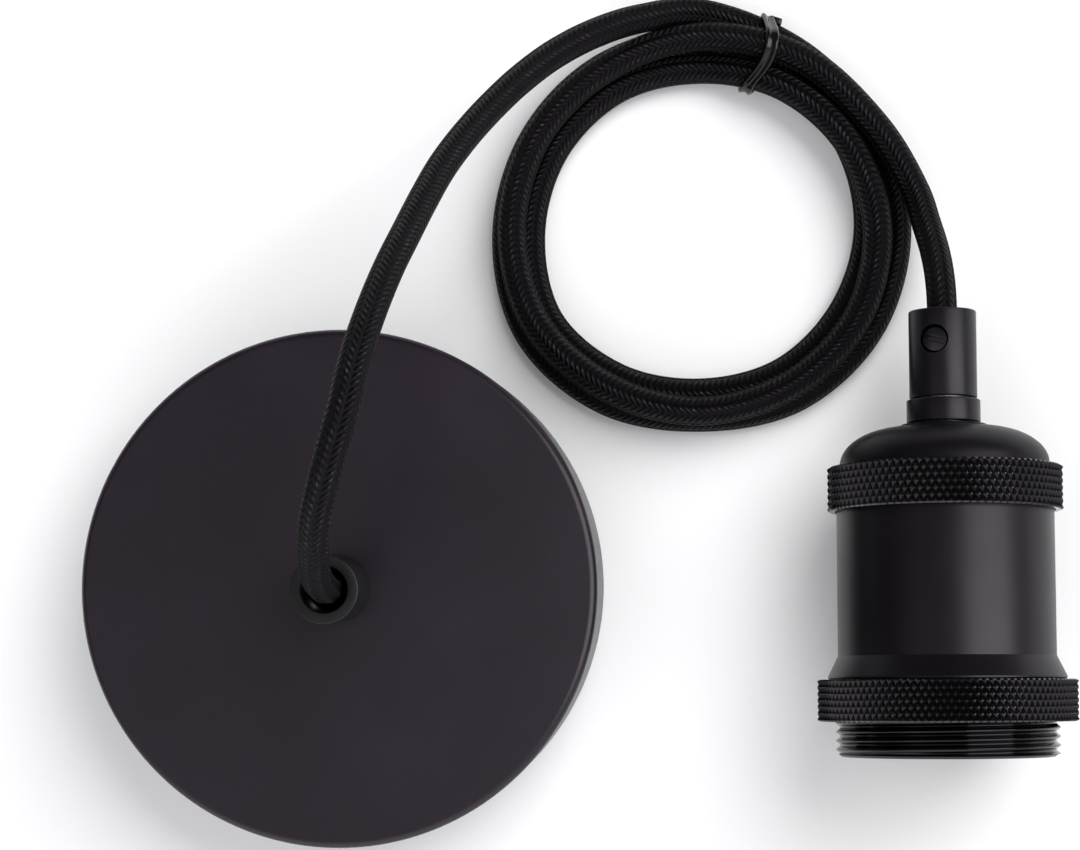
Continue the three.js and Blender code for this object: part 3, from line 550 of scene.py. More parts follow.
def piece(name: str, bm: bmesh.types.BMesh, finish: Finish, nodes: Iterable[str] = (),
          place: Matrix | None = None, smooth: float = SHARP_ANGLE) -> bpy.types.Object:
    """Makes a mesh in millimetres a piece of the object, in metres.

    Args:
        name: the piece's name.
        bm: its mesh, freed afterwards.
        finish: its surface.
        nodes: the CAD nodes that it stands for.
        place: where it goes in the model's frame, still in millimetres.
        smooth: edges sharper than this angle in degrees stay sharp.

    Returns:
        The new object, riding on the root.
    """
    if place:
        bmesh.ops.transform(bm, matrix=place, verts=bm.verts[:])
    bmesh.ops.scale(bm, vec=(MM, MM, MM), verts=bm.verts[:])
    mesh = bpy.data.meshes.new(name)
    bm.to_mesh(mesh)
    bm.free()
    mesh.shade_smooth()
    mesh.set_sharp_from_angle(angle=math.radians(smooth))
    mesh.materials.append(finish.material())
    made = bpy.data.objects.new(name, mesh)
    bpy.context.scene.collection.objects.link(made)
    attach(made, "root")
    if nodes:
        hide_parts(*nodes)
    LOG.info("%s: %d faces, stands for %s", name, len(mesh.polygons), ", ".join(nodes) or "nothing")
    return made


def cut_away(made: bpy.types.Object, tool: bmesh.types.BMesh, place: Matrix,
             smooth: float = SHARP_ANGLE) -> None:
    """Cuts a closed shape out of a piece, and keeps the result as its mesh.

    Args:
        made: the piece.
        tool: the shape in millimetres, freed afterwards.
        place: where the shape goes, in millimetres.
        smooth: edges sharper than this angle in degrees stay sharp.
    """
    bmesh.ops.transform(tool, matrix=place, verts=tool.verts[:])
    bmesh.ops.scale(tool, vec=(MM, MM, MM), verts=tool.verts[:])
    mesh = bpy.data.meshes.new("tool")
    tool.to_mesh(mesh)
    tool.free()
    cutter = bpy.data.objects.new("tool", mesh)
    bpy.context.scene.collection.objects.link(cutter)
    modifier = made.modifiers.new("cut", "BOOLEAN")
    modifier.object = cutter
    modifier.operation = "DIFFERENCE"
    modifier.solver = "EXACT"
    graph = bpy.context.evaluated_depsgraph_get()
    result = bpy.data.meshes.new_from_object(made.evaluated_get(graph), depsgraph=graph)
    made.modifiers.clear()
    result.name = made.name
    made.data = result
    result.shade_smooth()
    result.set_sharp_from_angle(angle=math.radians(smooth))
    bpy.data.objects.remove(cutter)


def swept(rings: Sequence[Sequence[Vector]], lengths: Sequence[float], closed: bool) -> bmesh.types.BMesh:
    """Lays a grid of faces over the rings of a section that follows a path.

    Args:
        rings: for each point of the path, the section's corners there.
        lengths: the distance along the path at each ring.
        closed: joins the last ring to the first in place of capping both.

    Returns:
        The mesh, with a UV map of distance along and turns round.
    """
    sides, count = len(rings[0]), len(rings) if closed else len(rings) - 1
    bm = bmesh.new()
    layer = bm.loops.layers.uv.new("UVMap")
    bmesh.ops.create_grid(bm, x_segments=count, y_segments=sides, size=0.5)
    cells = {v: (round((v.co.x + 0.5) * count), round((v.co.y + 0.5) * sides)) for v in bm.verts}
    for face in bm.faces:
        for loop in face.loops:
            i, j = cells[loop.vert]
            loop[layer].uv = (lengths[i % len(lengths)], j / sides)
    for vert, (i, j) in cells.items():
        vert.co = rings[i % len(rings)][j % sides]
    bmesh.ops.remove_doubles(bm, verts=bm.verts[:], dist=WELD)
    if not closed:
        bmesh.ops.holes_fill(bm, edges=[e for e in bm.edges if e.is_boundary], sides=0)
    bmesh.ops.recalc_face_normals(bm, faces=bm.faces[:])
    return bm


def smooth_route(points: Sequence[Vector], gap: float, parts: int = 40) -> list[Vector]:
    """A smooth curve through points, cut into equal steps.

    Args:
        points: the route's given points.
        gap: the distance from one returned point to the next.
        parts: how finely each span is worked out before it is cut.

    Returns:
        The curve's points.
    """
    ends = [points[0] * 2 - points[1], *points, points[-1] * 2 - points[-2]]
    dense = []
    for p0, p1, p2, p3 in zip(ends, ends[1:], ends[2:], ends[3:]):
        t1 = (p1 - p0).length ** 0.5
        t2 = t1 + (p2 - p1).length ** 0.5
        t3 = t2 + (p3 - p2).length ** 0.5
        for i in range(parts):
            t = t1 + (t2 - t1) * i / parts
            a1 = p0 * ((t1 - t) / t1) + p1 * (t / t1)
            a2 = p1 * ((t2 - t) / (t2 - t1)) + p2 * ((t - t1) / (t2 - t1))
            a3 = p2 * ((t3 - t) / (t3 - t2)) + p3 * ((t - t2) / (t3 - t2))
            b1 = a1 * ((t2 - t) / t2) + a2 * (t / t2)
            b2 = a2 * ((t3 - t) / (t3 - t1)) + a3 * ((t - t1) / (t3 - t1))
            dense.append(b1 * ((t2 - t) / (t2 - t1)) + b2 * ((t - t1) / (t2 - t1)))
    dense.append(points[-1])
    route, spare = [dense[0]], 0.0
    for a, b in zip(dense, dense[1:]):
        length = (b - a).length
        while spare + length >= gap and length > 0:
            a = a.lerp(b, (gap - spare) / length)
            length = (b - a).length
            route.append(a)
            spare = 0.0
        spare += length
    return route


@dataclass
class Canopy:
    """The pressed cup, its grub screws and the cord gland on it."""

    radius: float = 50.0
    height: float = 25.0
    wall: float = 1.0
    corner: float = 1.6
    hole: float = 5.3
    screw_radius: float = 2.0
    screw_height: float = 8.0
    gland_radius: float = 6.45
    gland_bore: float = 4.35
    gland_rise: float = 16.5
    mouth_depth: float = 12.5
    stem_radius: float = 5.0
    stem_length: float = 11.0
    pass_radius: float = 3.05
    clamp_radius: float = 1.9
    clamp_depth: float = 5.6
    clamp_azimuth: float = 225.0
    screw_length: float = 6.0
    rim_roll: float = 0.15
    least_corner: float = 0.6
    tool_past: float = 3.0
    shell_facets: int = 200
    gland_facets: int = 120
    soft_angle: float = 50.0

    def corner_arc(self, inset: float, steps: int = 7) -> list[tuple[float, float]]:
        """The rounded edge between the cup's wall and its face.

        Args:
            inset: how far inside the outer surface it runs.
            steps: how many sides it has.

        Returns:
            Radius and height pairs, from the wall up.
        """
        r = max(self.corner - inset, self.least_corner)
        x, z = self.radius - inset - r, self.height - inset - r
        angles = [math.pi / 2 * i / steps for i in range(steps + 1)]
        return [(x + r * math.cos(a), z + r * math.sin(a)) for a in angles]

    def shell(self) -> None:
        """The cup, with its rim rolled smooth and a hole for each grub screw."""
        inner = list(reversed(self.corner_arc(self.wall)))
        profile = [(self.radius - self.wall, 0.0), (self.radius - self.rim_roll, 0.0),
                   (self.radius, self.rim_roll)]
        profile += self.corner_arc(0.0)
        profile += [(self.hole, self.height), (self.hole, self.height - self.wall), *inner]
        mesh = turned(profile, self.shell_facets, None)
        cup = piece("canopy_shell", mesh, POWDER, ["canopy_cup"], smooth=self.soft_angle)
        reach = self.radius + self.tool_past
        tool = bar(self.screw_radius + CLEAR, -reach, reach, HOLE_SIDES)
        across = Matrix.Translation((0, 0, self.screw_height)) @ Matrix.Rotation(math.pi / 2, 4, "X")
        cut_away(cup, tool, across, smooth=self.soft_angle)

    def side_screws(self) -> None:
        """The two slotted grub screws in the wall."""
        for number, end in ((1, 1), (2, -1)):
            place = Matrix.Translation((0, end * (self.radius - CLEAR), self.screw_height))
            place = place @ Matrix.Rotation(-end * math.pi / 2, 4, "X")
            screw = grub_screw(self.screw_radius, self.screw_length)
            piece(f"side_screw_{number}", screw, STEEL, [f"canopy_screw_{number}"], place)

    def gland(self) -> None:
        """The gland's body with its clamp hole, and the slotted clamp screw."""
        top = self.height + self.gland_rise
        stem_end = self.height - self.stem_length
        body = turned([
            (self.pass_radius, stem_end),
            (self.stem_radius, stem_end),
            (self.stem_radius, self.height),
            (self.gland_radius, self.height),
            (self.gland_radius, top),
            (self.gland_bore, top),
            (self.gland_bore, top - self.mouth_depth),
            (self.pass_radius, top - self.mouth_depth - self.gland_bore + self.pass_radius),
        ], self.gland_facets, Corner.EASED)
        made = piece("gland_body", body, GLAND, ["cord_gland"])
        out = Matrix.Rotation(math.radians(self.clamp_azimuth), 4, "Z") @ Matrix.Rotation(math.pi / 2, 4, "Y")
        level = Matrix.Translation((0, 0, top - self.clamp_depth))
        tool = bar(self.clamp_radius + CLEAR, 0.0, self.gland_radius + self.tool_past, HOLE_SIDES)
        cut_away(made, tool, level @ out)
        reach = self.gland_radius + CLEAR
        screw = grub_screw(self.clamp_radius, reach - self.pass_radius - 2 * CLEAR)
        place = level @ out @ Matrix.Translation((0, 0, reach))
        piece("gland_clamp_screw", screw, DULL_STEEL, ["gland_screw"], place)

    def build(self) -> None:
        """Builds every piece of the canopy that is redrawn."""
        self.shell()
        self.side_screws()
        self.gland()


@dataclass
class Turn:
    """One turn of the coil, clockwise from the top, a radius and a height for each twelfth of it."""

    radii: Sequence[float]
    heights: Sequence[float]

    def points(self, centre: Vector) -> list[Vector]:
        """The turn's points round a centre.

        Args:
            centre: the coil's centre on the table.

        Returns:
            The points, in millimetres.
        """
        found = []
        for step, (r, z) in enumerate(zip(self.radii, self.heights)):
            angle = 2 * math.pi * step / 12
            found.append(Vector((centre.x + r * math.sin(angle), centre.y + r * math.cos(angle), z)))
        return found


@dataclass
class CoiledCord:
    """The textile cord from the gland through its coil into the lamp holder, and the tie.

    The tie's section holds pairs of a distance across the band and a height on it. Its clasp is placed
    by a distance across the band and a height over the table.
    """

    radius: float = 2.75
    centre: Vector = field(default_factory=lambda: Vector((69.9, 71.3, 0)))
    floor: float = 2.9
    step: float = 0.42
    sides: int = 32
    ribs: int = 8
    relief: float = 0.17
    relief_sunk: float = 0.1
    tie_angle: float = 17.0
    tie_gap: float = 0.5
    tie_bow: float = 2.9
    tie_under_bow: float = -0.58
    tie_low: float = 0.45
    tie_lift: float = 0.03
    tie_step: float = 0.6
    tie_section: Profile = (
        (-1.4, -0.1), (-1.35, 0.5), (-0.8, 0.82), (-0.25, 0.34), (0.25, 0.34), (0.8, 0.82), (1.35, 0.5),
        (1.4, -0.1), (0.9, -0.35), (0.0, -0.3), (-0.9, -0.35),
    )
    clasp_size: tuple[float, float, float] = (1.5, 2.6, 3.2)
    clasp_at: tuple[float, float] = (-1.8, 3.7)
    clasp_gap: float = 0.1
    clasp_edge: float = 0.4
    lead: Sequence[tuple[float, float, float]] = (
        (0, 0, 13.5), (0, 0, 27.5), (0.3, 0.2, 41.5), (0.9, 2.2, 54.7), (1.8, 6.1, 64.3), (3.3, 12.6, 71.9),
        (6, 21.2, 76.4), (8.9, 30.9, 77.4), (10.9, 40.7, 75), (13, 49.4, 70.2), (15.1, 57.2, 64.1),
        (17.4, 64.5, 57.2), (19.6, 71.5, 50.2), (22.2, 78.5, 43.3), (25.7, 85.3, 36.5), (30, 91.9, 30.1),
        (35.2, 98.4, 24.1), (41.5, 104.4, 18.7), (49.1, 109.4, 14), (57.8, 113.1, 9.6),
    )
    drop: Sequence[tuple[float, float, float]] = (
        (112.15, 78.6, 9.4), (114.05, 71.8, 12.6), (115.5, 65.3, 16.6), (116.2, 59.3, 19.6),
    )
    turns: Sequence[Turn] = (
        Turn((43.8, 40.9, 39.2, 39.15, 38.95, 38.35, 37.3, 39.05, 40.4, 39.4, 38.95, 38.9),
             (4.9, 2.8, 2.75, 2.75, 2.75, 2.75, 2.75, 2.75, 2.75, 2.75, 2.75, 2.75)),
        Turn((38.3, 35.8, 34.3, 33.3, 32.5, 32.5, 32.35, 33.8, 35.4, 34.4, 33.95, 33.6),
             (2.75, 2.75, 2.75, 2.75, 2.75, 2.75, 2.75, 2.75, 2.75, 2.75, 2.75, 2.75)),
        Turn((32.8, 32.9, 33.8, 34.9, 35.7, 35.8, 36.3, 36.7, 38.0, 37.9, 37.7, 37.5),
             (3.2, 7.0, 8.0, 7.9, 7.3, 7.4, 7.9, 7.9, 7.9, 7.9, 7.9, 8.0)),
        Turn((38.4, 39.3, 40.2), (8.3, 8.4, 8.4)),
    )

    def route(self, holder_ends: Sequence[Vector]) -> list[Vector]:
        """The whole centreline.

        Args:
            holder_ends: the points inside the holder's cord grip, from its mouth in.

        Returns:
            Equally spaced points, in millimetres.
        """
        points = [Vector(p) for p in self.lead]
        for turn in self.turns:
            points += turn.points(self.centre)
        points += [Vector(p) for p in self.drop]
        points += list(holder_ends)
        route = smooth_route(points, self.step)
        for point in route:
            point.z = max(point.z, self.floor)
        return route

    def relief_at(self, turn: float) -> float:
        """How far the braid's ribs stand up at a share of a turn round it."""
        return self.relief * (math.sin(math.pi * (turn * self.ribs % 1.0)) - self.relief_sunk)

    def rings(self, route: Sequence[Vector]) -> list[list[Vector]]:
        """The braided section at each point of the route, without twist.

        Args:
            route: the cord's centreline.

        Returns:
            For each point, the section's corners.
        """
        found = []
        across = Vector((1, 0, 0))
        for i, point in enumerate(route):
            tangent = (route[min(i + 1, len(route) - 1)] - route[max(i - 1, 0)]).normalized()
            across = (across - tangent * across.dot(tangent)).normalized()
            up = tangent.cross(across)
            ring = []
            for j in range(self.sides):
                turn = j / self.sides
                r = self.radius + self.relief_at(turn)
                angle = 2 * math.pi * turn
                ring.append(point + across * (r * math.cos(angle)) + up * (r * math.sin(angle)))
            found.append(ring)
        return found

    def build(self, holder_ends: Sequence[Vector]) -> None:
        """Args:
            holder_ends: the points inside the holder's cord grip, from its mouth in.
        """
        route = self.route(holder_ends)
        bm = swept(self.rings(route), [i * self.step for i in range(len(route))], closed=False)
        cord = piece("braided_cord", bm, TEXTILE, ["cord_lead", "cord_coil", "cord_drop"], smooth=80.0)
        tie = self.tie(route)

    def lanes_at(self, route: Sequence[Vector], angle: float) -> list[tuple[float, float]]:
        """Where the cord crosses a radial plane of the coil.

        Args:
            route: the cord's centreline.
            angle: the plane's angle in radians, clockwise from the top of the coil.

        Returns:
            Radius and height pairs.
        """
        ray = Vector((math.sin(angle), math.cos(angle), 0))
        side = Vector((ray.y, -ray.x, 0))
        found = []
        for a, b in zip(route, route[1:]):
            da, db = (a - self.centre).dot(side), (b - self.centre).dot(side)
            if da <= 0 < db and (a - self.centre).dot(ray) > 0:
                point = a.lerp(b, -da / (db - da))
                found.append(((point - self.centre).dot(ray), point.z))
        return found

    def tie(self, route: Sequence[Vector]) -> list[bpy.types.Object]:
        """The ribbed band round all lanes at the top of the coil.

        Args:
            route: the cord's centreline.

        Returns:
            The band and its clasp.
        """
        angle = math.radians(self.tie_angle)
        lanes = self.lanes_at(route, angle)
        corners = bmesh.new()
        for r, z in lanes:
            bmesh.ops.create_circle(corners, segments=40, radius=self.radius + self.tie_gap,
                                    matrix=Matrix.Translation((r, z, 0)))
        outline = self.outline([v.co.to_2d() for v in corners.verts], self.tie_step)
        corners.free()
        ray = Vector((math.sin(angle), math.cos(angle), 0))
        side = Vector((ray.y, -ray.x, 0))
        low, high = min(p.x for p in outline), max(p.x for p in outline)
        path = []
        for p in outline:
            share = (p.x - low) / (high - low)
            bow = (self.tie_bow if p.y > self.radius else self.tie_under_bow) * math.sin(math.pi * share)
            path.append(self.centre + ray * p.x + side * bow + Vector((0, 0, max(p.y, self.tie_low))))
        rings = []
        for i, point in enumerate(path):
            ahead = path[(i + 1) % len(path)] - path[i - 1]
            out = ahead.cross(side).normalized()
            ring = [point + side * x + out * y for x, y in self.tie_section]
            for corner in ring:
                corner.z = max(corner.z, self.tie_lift)
            rings.append(ring)
        bm = swept(rings, [self.tie_step * i for i in range(len(rings))], closed=True)
        outer = max(r for r, _ in lanes) + self.radius + self.clasp_gap
        clasp = self.clasp(Matrix((ray, -side, Vector((0, 0, 1)))).transposed().to_4x4(), outer)
        made = piece("coil_tie", bm, TIE, ["cord_tie"], smooth=70.0)
        rounding = made.modifiers.new("rounding", "SUBSURF")
        rounding.levels = rounding.render_levels = 2
        return [made, clasp]

    def clasp(self, axes: Matrix, outer: float) -> bpy.types.Object:
        """The tie's small clasp on the outside of the coil.

        Args:
            axes: the radial, sideways and upright directions at the tie.
            outer: the radius of the coil's outside there.

        Returns:
            The clasp's object.
        """
        bm = bmesh.new()
        bmesh.ops.create_cube(bm, size=1.0)
        bmesh.ops.scale(bm, vec=self.clasp_size, verts=bm.verts[:])
        broken(bm, bm.edges[:], self.clasp_edge, "EDGES", 3)
        across, rise = self.clasp_at
        place = Matrix.Translation(self.centre) @ axes @ Matrix.Translation((outer, across, rise))
        return piece("tie_clasp", bm, TIE, (), place)

    @staticmethod
    def outline(points: Sequence[Vector], step: float) -> list[Vector]:
        """The tight outline round points in a plane, in short even steps.

        Args:
            points: the points.
            step: about how far apart the outline's points lie.

        Returns:
            The outline's points, anticlockwise.
        """
        ordered = sorted((p.x, p.y) for p in points)
        halves = []
        for run in (ordered, ordered[::-1]):
            half: list[Vector] = []
            for xy in run:
                point = Vector(xy)
                while len(half) > 1 and (half[-1] - half[-2]).cross(point - half[-1]) <= 0:
                    half.pop()
                half.append(point)
            halves += half[:-1]
        steps = []
        for a, b in zip(halves, halves[1:] + halves[:1]):
            count = max(1, round((b - a).length / step))
            steps += [a.lerp(b, i / count) for i in range(count)]
        return steps


@dataclass
class Knurl:
    """A diamond knurl on a ring: points between two crossing sets of grooves."""

    radius: float
    length: float
    bore: float
    points: int
    pitch: float
    depth: float = 0.62
    chamfer: float = 0.5
    chamfer_share: float = 0.6
    blunt: float = 0.16
    near: float = 0.02

    def build(self, lip: tuple[float, float] | None = None) -> bmesh.types.BMesh:
        """Spins the ring with one column for each half point, then lets down every groove crossing.

        Args:
            lip: radius and height of a narrower bore at the top, where the ring has one.

        Returns:
            The ring's mesh from z = 0 up.
        """
        low = self.chamfer * self.chamfer_share
        high = self.length - low
        rows = round((high - low) / (self.pitch / 2))
        band = [(self.radius, low + (high - low) * i / rows) for i in range(rows + 1)]
        inner = [(self.bore, self.length), (self.bore, 0.0)]
        if lip:
            inner = [(lip[0], self.length), (lip[0], lip[1]), (self.bore, lip[1]), (self.bore, 0.0)]
        rim = self.radius - self.chamfer
        bm = turned([(rim, 0.0), *band, (rim, self.length), *inner], self.points * 2, None)
        step = (high - low) / rows
        grooves, tops = [], []
        for vert in bm.verts:
            if vert.co.to_2d().length < self.radius - self.near:
                continue
            column = round(math.atan2(vert.co.y, vert.co.x) / math.pi * self.points)
            row = round((vert.co.z - low) / step)
            (grooves if (column + row) % 2 else tops).append(vert)
        for vert in grooves:
            vert.co.xy *= (self.radius - self.depth) / self.radius
        bmesh.ops.connect_verts(bm, verts=grooves)
        tops = [v for v in tops if low + step / 2 < v.co.z < high - step / 2]
        broken(bm, tops, self.blunt, "VERTICES", 1, clamp=True)
        bmesh.ops.recalc_face_normals(bm, faces=bm.faces[:])
        return bm


@dataclass
class LampHolder:
    """The turned holder on its own axis, from the mouth at z = 0 to the cord grip.

    The lead-in and the two edges hold pairs of a distance from a radius and a distance from a station.
    The thread's shape holds pairs of a share of its pitch and a share of its depth.
    """

    mouth: tuple[float, float] = (116.9, -31.96)
    lean: float = 0.31
    sleeve_radius: float = 20.75
    thread_root: float = 20.5
    thread_crest: float = 21.3
    thread_length: float = 6.7
    thread_pitch: float = 1.68
    thread_start: float = 0.55
    thread_past: float = 0.6
    thread_backing: float = 0.8
    thread_facets: int = 144
    thread_weld: float = 0.003
    thread_shape: Profile = (
        (-0.5, 0.0), (-0.43, 0.04), (-0.27, 0.4), (-0.08, 0.92), (0.0, 1.0), (0.08, 0.92), (0.27, 0.4),
        (0.43, 0.04), (0.5, 0.0),
    )
    lead_in: Profile = ((-0.35, 0.0), (0.25, 0.45), (-0.05, 0.75))
    shade_radius: float = 24.8
    shade_length: float = 7.7
    ring_take_up: float = 0.24
    flare_radius: float = 22.7
    flare_length: float = 4.4
    flare_edge: Profile = ((-0.25, 0.0), (0.0, 0.2), (0.0, 0.5))
    sleeve_length: float = 27.7
    coupling_radius: float = 22.53
    coupling_length: float = 8.4
    shade_points: int = 110
    coupling_points: int = 94
    knurl_pitch: float = 2.66
    chamfer: float = 0.9
    dome_radius: float = 20.05
    dome_rise: float = 8.2
    dome_wall: float = 1.3
    dome_straight: float = 1.4
    step_radius: float = 8.5
    step: float = 0.6
    step_edge: Profile = ((-0.15, -0.12), (-0.35, 0.0))
    neck_radius: float = 7.08
    neck_length: float = 4.5
    grip_radius: float = 6.5
    grip_length: float = 16.9
    nipple_radius: float = 4.95
    nipple_in_grip: float = 6.0
    nipple_below: float = 7.0
    cord_radius: float = 2.75
    screw_radius: float = 2.45
    screw_inset: float = 6.0
    screw_sunk: float = 0.7
    screw_lean: float = 20.0
    slot_turn: float = -19.0
    skirt_bore: float = 18.6
    rear_bore: float = 19.8
    insert_seat: float = 40.0
    tool_past: float = 2.0
    sleeve_facets: int = 180
    dome_facets: int = 160
    grip_facets: int = 120

    def __post_init__(self) -> None:
        """Works out the stations along the axis and where the axis lies."""
        self.flare_start = self.thread_length + self.shade_length + CLEAR
        self.flare_end = self.flare_start + self.flare_length
        self.coupling_start = self.flare_end + self.sleeve_length
        self.coupling_end = self.coupling_start + self.coupling_length
        self.sleeve_end = self.coupling_start + self.coupling_length / 2 - CLEAR
        self.flange_end = self.sleeve_end + 3 * CLEAR + self.dome_wall
        self.dome_end = self.coupling_end + self.dome_rise
        self.neck_start = self.dome_end + CLEAR
        self.neck_end = self.neck_start + self.neck_length
        self.grip_start = self.neck_end + CLEAR
        self.grip_end = self.grip_start + self.grip_length
        self.nipple_end = self.grip_start + self.nipple_in_grip
        self.cord_end = self.dome_end - self.nipple_below - CLEAR
        shade_edge = self.thread_length + self.shade_length - self.chamfer
        coupling_edge = self.coupling_end - self.chamfer
        tilt = math.atan((self.shade_radius - self.coupling_radius) / (coupling_edge - shade_edge))
        height = (self.shade_radius + shade_edge * math.tan(tilt)) * math.cos(tilt)
        self.place = (Matrix.Translation((*self.mouth, height))
                      @ Matrix.Rotation(math.radians(self.lean), 4, "Z")
                      @ Matrix.Rotation(-math.pi / 2 - tilt, 4, "X"))

    def cord_points(self) -> list[Vector]:
        """Points on the axis where the cord runs through the grip and nipple."""
        stations = (self.grip_end, (self.grip_end + self.nipple_end) / 2, self.nipple_end, self.cord_end)
        return [self.place @ Vector((0, 0, s)) for s in stations]

    def sleeve(self) -> None:
        """The body with its flare, and the screw thread at its mouth."""
        top = self.thread_length + self.thread_past
        profile = [
            (self.skirt_bore, 0.0),
            *((self.thread_root + r, z) for r, z in self.lead_in),
            (self.thread_root + self.lead_in[-1][0], top),
            (self.sleeve_radius, top),
            (self.sleeve_radius, self.flare_start),
            *((self.flare_radius + r, self.flare_start + z) for r, z in self.flare_edge),
            (self.sleeve_radius, self.flare_end),
            (self.sleeve_radius, self.sleeve_end),
            (self.rear_bore, self.sleeve_end),
            (self.rear_bore, self.insert_seat),
            (self.skirt_bore, self.insert_seat),
        ]
        body = turned(profile, self.sleeve_facets)
        piece("holder_sleeve", body, HOLDER, ["body_sleeve"], self.place, smooth=20.0)
        piece("mouth_thread", self.thread(self.thread_start, top), THREAD, (), self.place, smooth=60.0)

    def thread(self, low: float, high: float) -> bmesh.types.BMesh:
        """A rounded-root thread, spun as a helix and cut level at both ends.

        Args:
            low: the station where it starts.
            high: the station where it ends.

        Returns:
            The thread's closed mesh.
        """
        pitch, reach, facets = self.thread_pitch, self.thread_crest - self.thread_root, self.thread_facets
        bm = bmesh.new()
        row = [bm.verts.new((self.thread_root + reach * h, 0, low - pitch + pitch * x))
               for x, h in self.thread_shape]
        for a, b in zip(row, row[1:]):
            bm.edges.new((a, b))
        steps = round(facets * ((high - low) / pitch + 2))
        bmesh.ops.spin(bm, geom=bm.verts[:] + bm.edges[:], cent=(0, 0, 0), axis=(0, 0, 1),
                       dvec=(0, 0, pitch / facets), angle=2 * math.pi * steps / facets, steps=steps)
        bmesh.ops.remove_doubles(bm, verts=bm.verts[:], dist=self.thread_weld)
        for level, way in ((low, -1), (high, 1)):
            cut = bmesh.ops.bisect_plane(bm, geom=bm.verts[:] + bm.edges[:] + bm.faces[:], dist=1e-5,
                                         plane_co=(0, 0, level), plane_no=(0, 0, way), clear_outer=True)
            rim = [g for g in cut["geom_cut"] if isinstance(g, bmesh.types.BMEdge)]
            inner = bmesh.ops.extrude_edge_only(bm, edges=rim)["geom"]
            for vert in (g for g in inner if isinstance(g, bmesh.types.BMVert)):
                vert.co.xy *= (self.skirt_bore + self.thread_backing) / vert.co.to_2d().length
        bmesh.ops.bridge_loops(bm, edges=[e for e in bm.edges if e.is_boundary])
        bmesh.ops.recalc_face_normals(bm, faces=bm.faces[:])
        return bm

    def rings(self) -> None:
        """The two knurled rings."""
        shade = Knurl(self.shade_radius, self.shade_length + self.ring_take_up, self.thread_crest + CLEAR,
                      self.shade_points, self.knurl_pitch)
        at = self.place @ Matrix.Translation((0, 0, self.thread_length))
        piece("shade_ring_knurled", shade.build(), KNURLED, ["shade_ring"], at, smooth=9.0)
        coupling = Knurl(self.coupling_radius, self.coupling_length, self.sleeve_radius + CLEAR,
                         self.coupling_points, self.knurl_pitch)
        lip = (self.dome_radius + CLEAR, self.flange_end + CLEAR - self.coupling_start)
        at = self.place @ Matrix.Translation((0, 0, self.coupling_start))
        piece("coupling_ring_knurled", coupling.build(lip), KNURLED, ["coupling_ring"], at, smooth=9.0)

    def dome(self) -> None:
        """The domed cap with the low step round its hole."""
        hole = self.nipple_radius + CLEAR
        shoulder = self.coupling_end - self.chamfer + self.dome_straight
        base = self.dome_end - self.step

        def arc(inset: float, steps: int = 14) -> list[tuple[float, float]]:
            """The shoulder's quarter ellipse.

            Args:
                inset: how far inside the outer surface it runs.
                steps: how many sides it has.

            Returns:
                Radius and station pairs, from the side to the step.
            """
            wide, tall = self.dome_radius - inset - self.step_radius, base - shoulder - inset
            angles = [math.pi / 2 * i / steps for i in range(steps + 1)]
            return [(self.step_radius + wide * math.cos(a), shoulder + tall * math.sin(a)) for a in angles]

        profile = [
            (self.dome_radius - self.dome_wall, self.sleeve_end + CLEAR),
            (self.sleeve_radius, self.sleeve_end + CLEAR),
            (self.sleeve_radius, self.flange_end),
            (self.dome_radius, self.flange_end),
            *arc(0.0),
            *((self.step_radius + r, self.dome_end + z) for r, z in self.step_edge),
            (hole, self.dome_end),
            (hole, base - self.dome_wall),
            *reversed(arc(self.dome_wall)),
        ]
        shell = turned(profile, self.dome_facets, None)
        piece("dome_shell", shell, DOME, ["dome_cap"], self.place, smooth=34.0)

    def grip(self) -> None:
        """The neck collar, and the cord grip with its slotted screw."""
        hole, passage = self.nipple_radius + CLEAR, self.cord_radius + CLEAR
        collar = turned([
            (hole, self.neck_start),
            (self.neck_radius, self.neck_start),
            (self.neck_radius, self.neck_end),
            (hole, self.neck_end),
        ], self.grip_facets, Corner.EASED)
        piece("neck_collar", collar, HOLDER, ["neck_nut"], self.place)
        barrel = turned([
            (hole, self.grip_start),
            (self.grip_radius, self.grip_start),
            (self.grip_radius, self.grip_end),
            (passage, self.grip_end),
            (passage, self.nipple_end + CLEAR),
            (hole, self.nipple_end + CLEAR),
        ], self.grip_facets, Corner.EASED)
        made = piece("grip_barrel", barrel, HOLDER, ["cord_grip"], self.place)
        lean = math.radians(self.screw_lean)
        outward = Vector((-math.sin(lean), -math.cos(lean), 0))
        along = Vector((0, 0, 1))
        turn = Matrix((along.cross(outward), along, outward)).transposed().to_4x4()
        level = self.place @ Matrix.Translation((0, 0, self.grip_end - self.screw_inset)) @ turn
        cut_away(made, bar(self.screw_radius + CLEAR, 0.0, self.grip_radius + self.tool_past), level)
        head = self.grip_radius - self.screw_sunk
        screw = grub_screw(self.screw_radius, head - passage)
        place = level @ Matrix.Translation((0, 0, head))
        place = place @ Matrix.Rotation(math.radians(self.slot_turn), 4, "Z")
        piece("grip_set_screw", screw, KNURLED, ["grip_screw"], place)

    def build(self) -> None:
        """Builds every piece of the holder that is redrawn."""
        self.sleeve()
        self.rings()
        self.dome()
        self.grip()


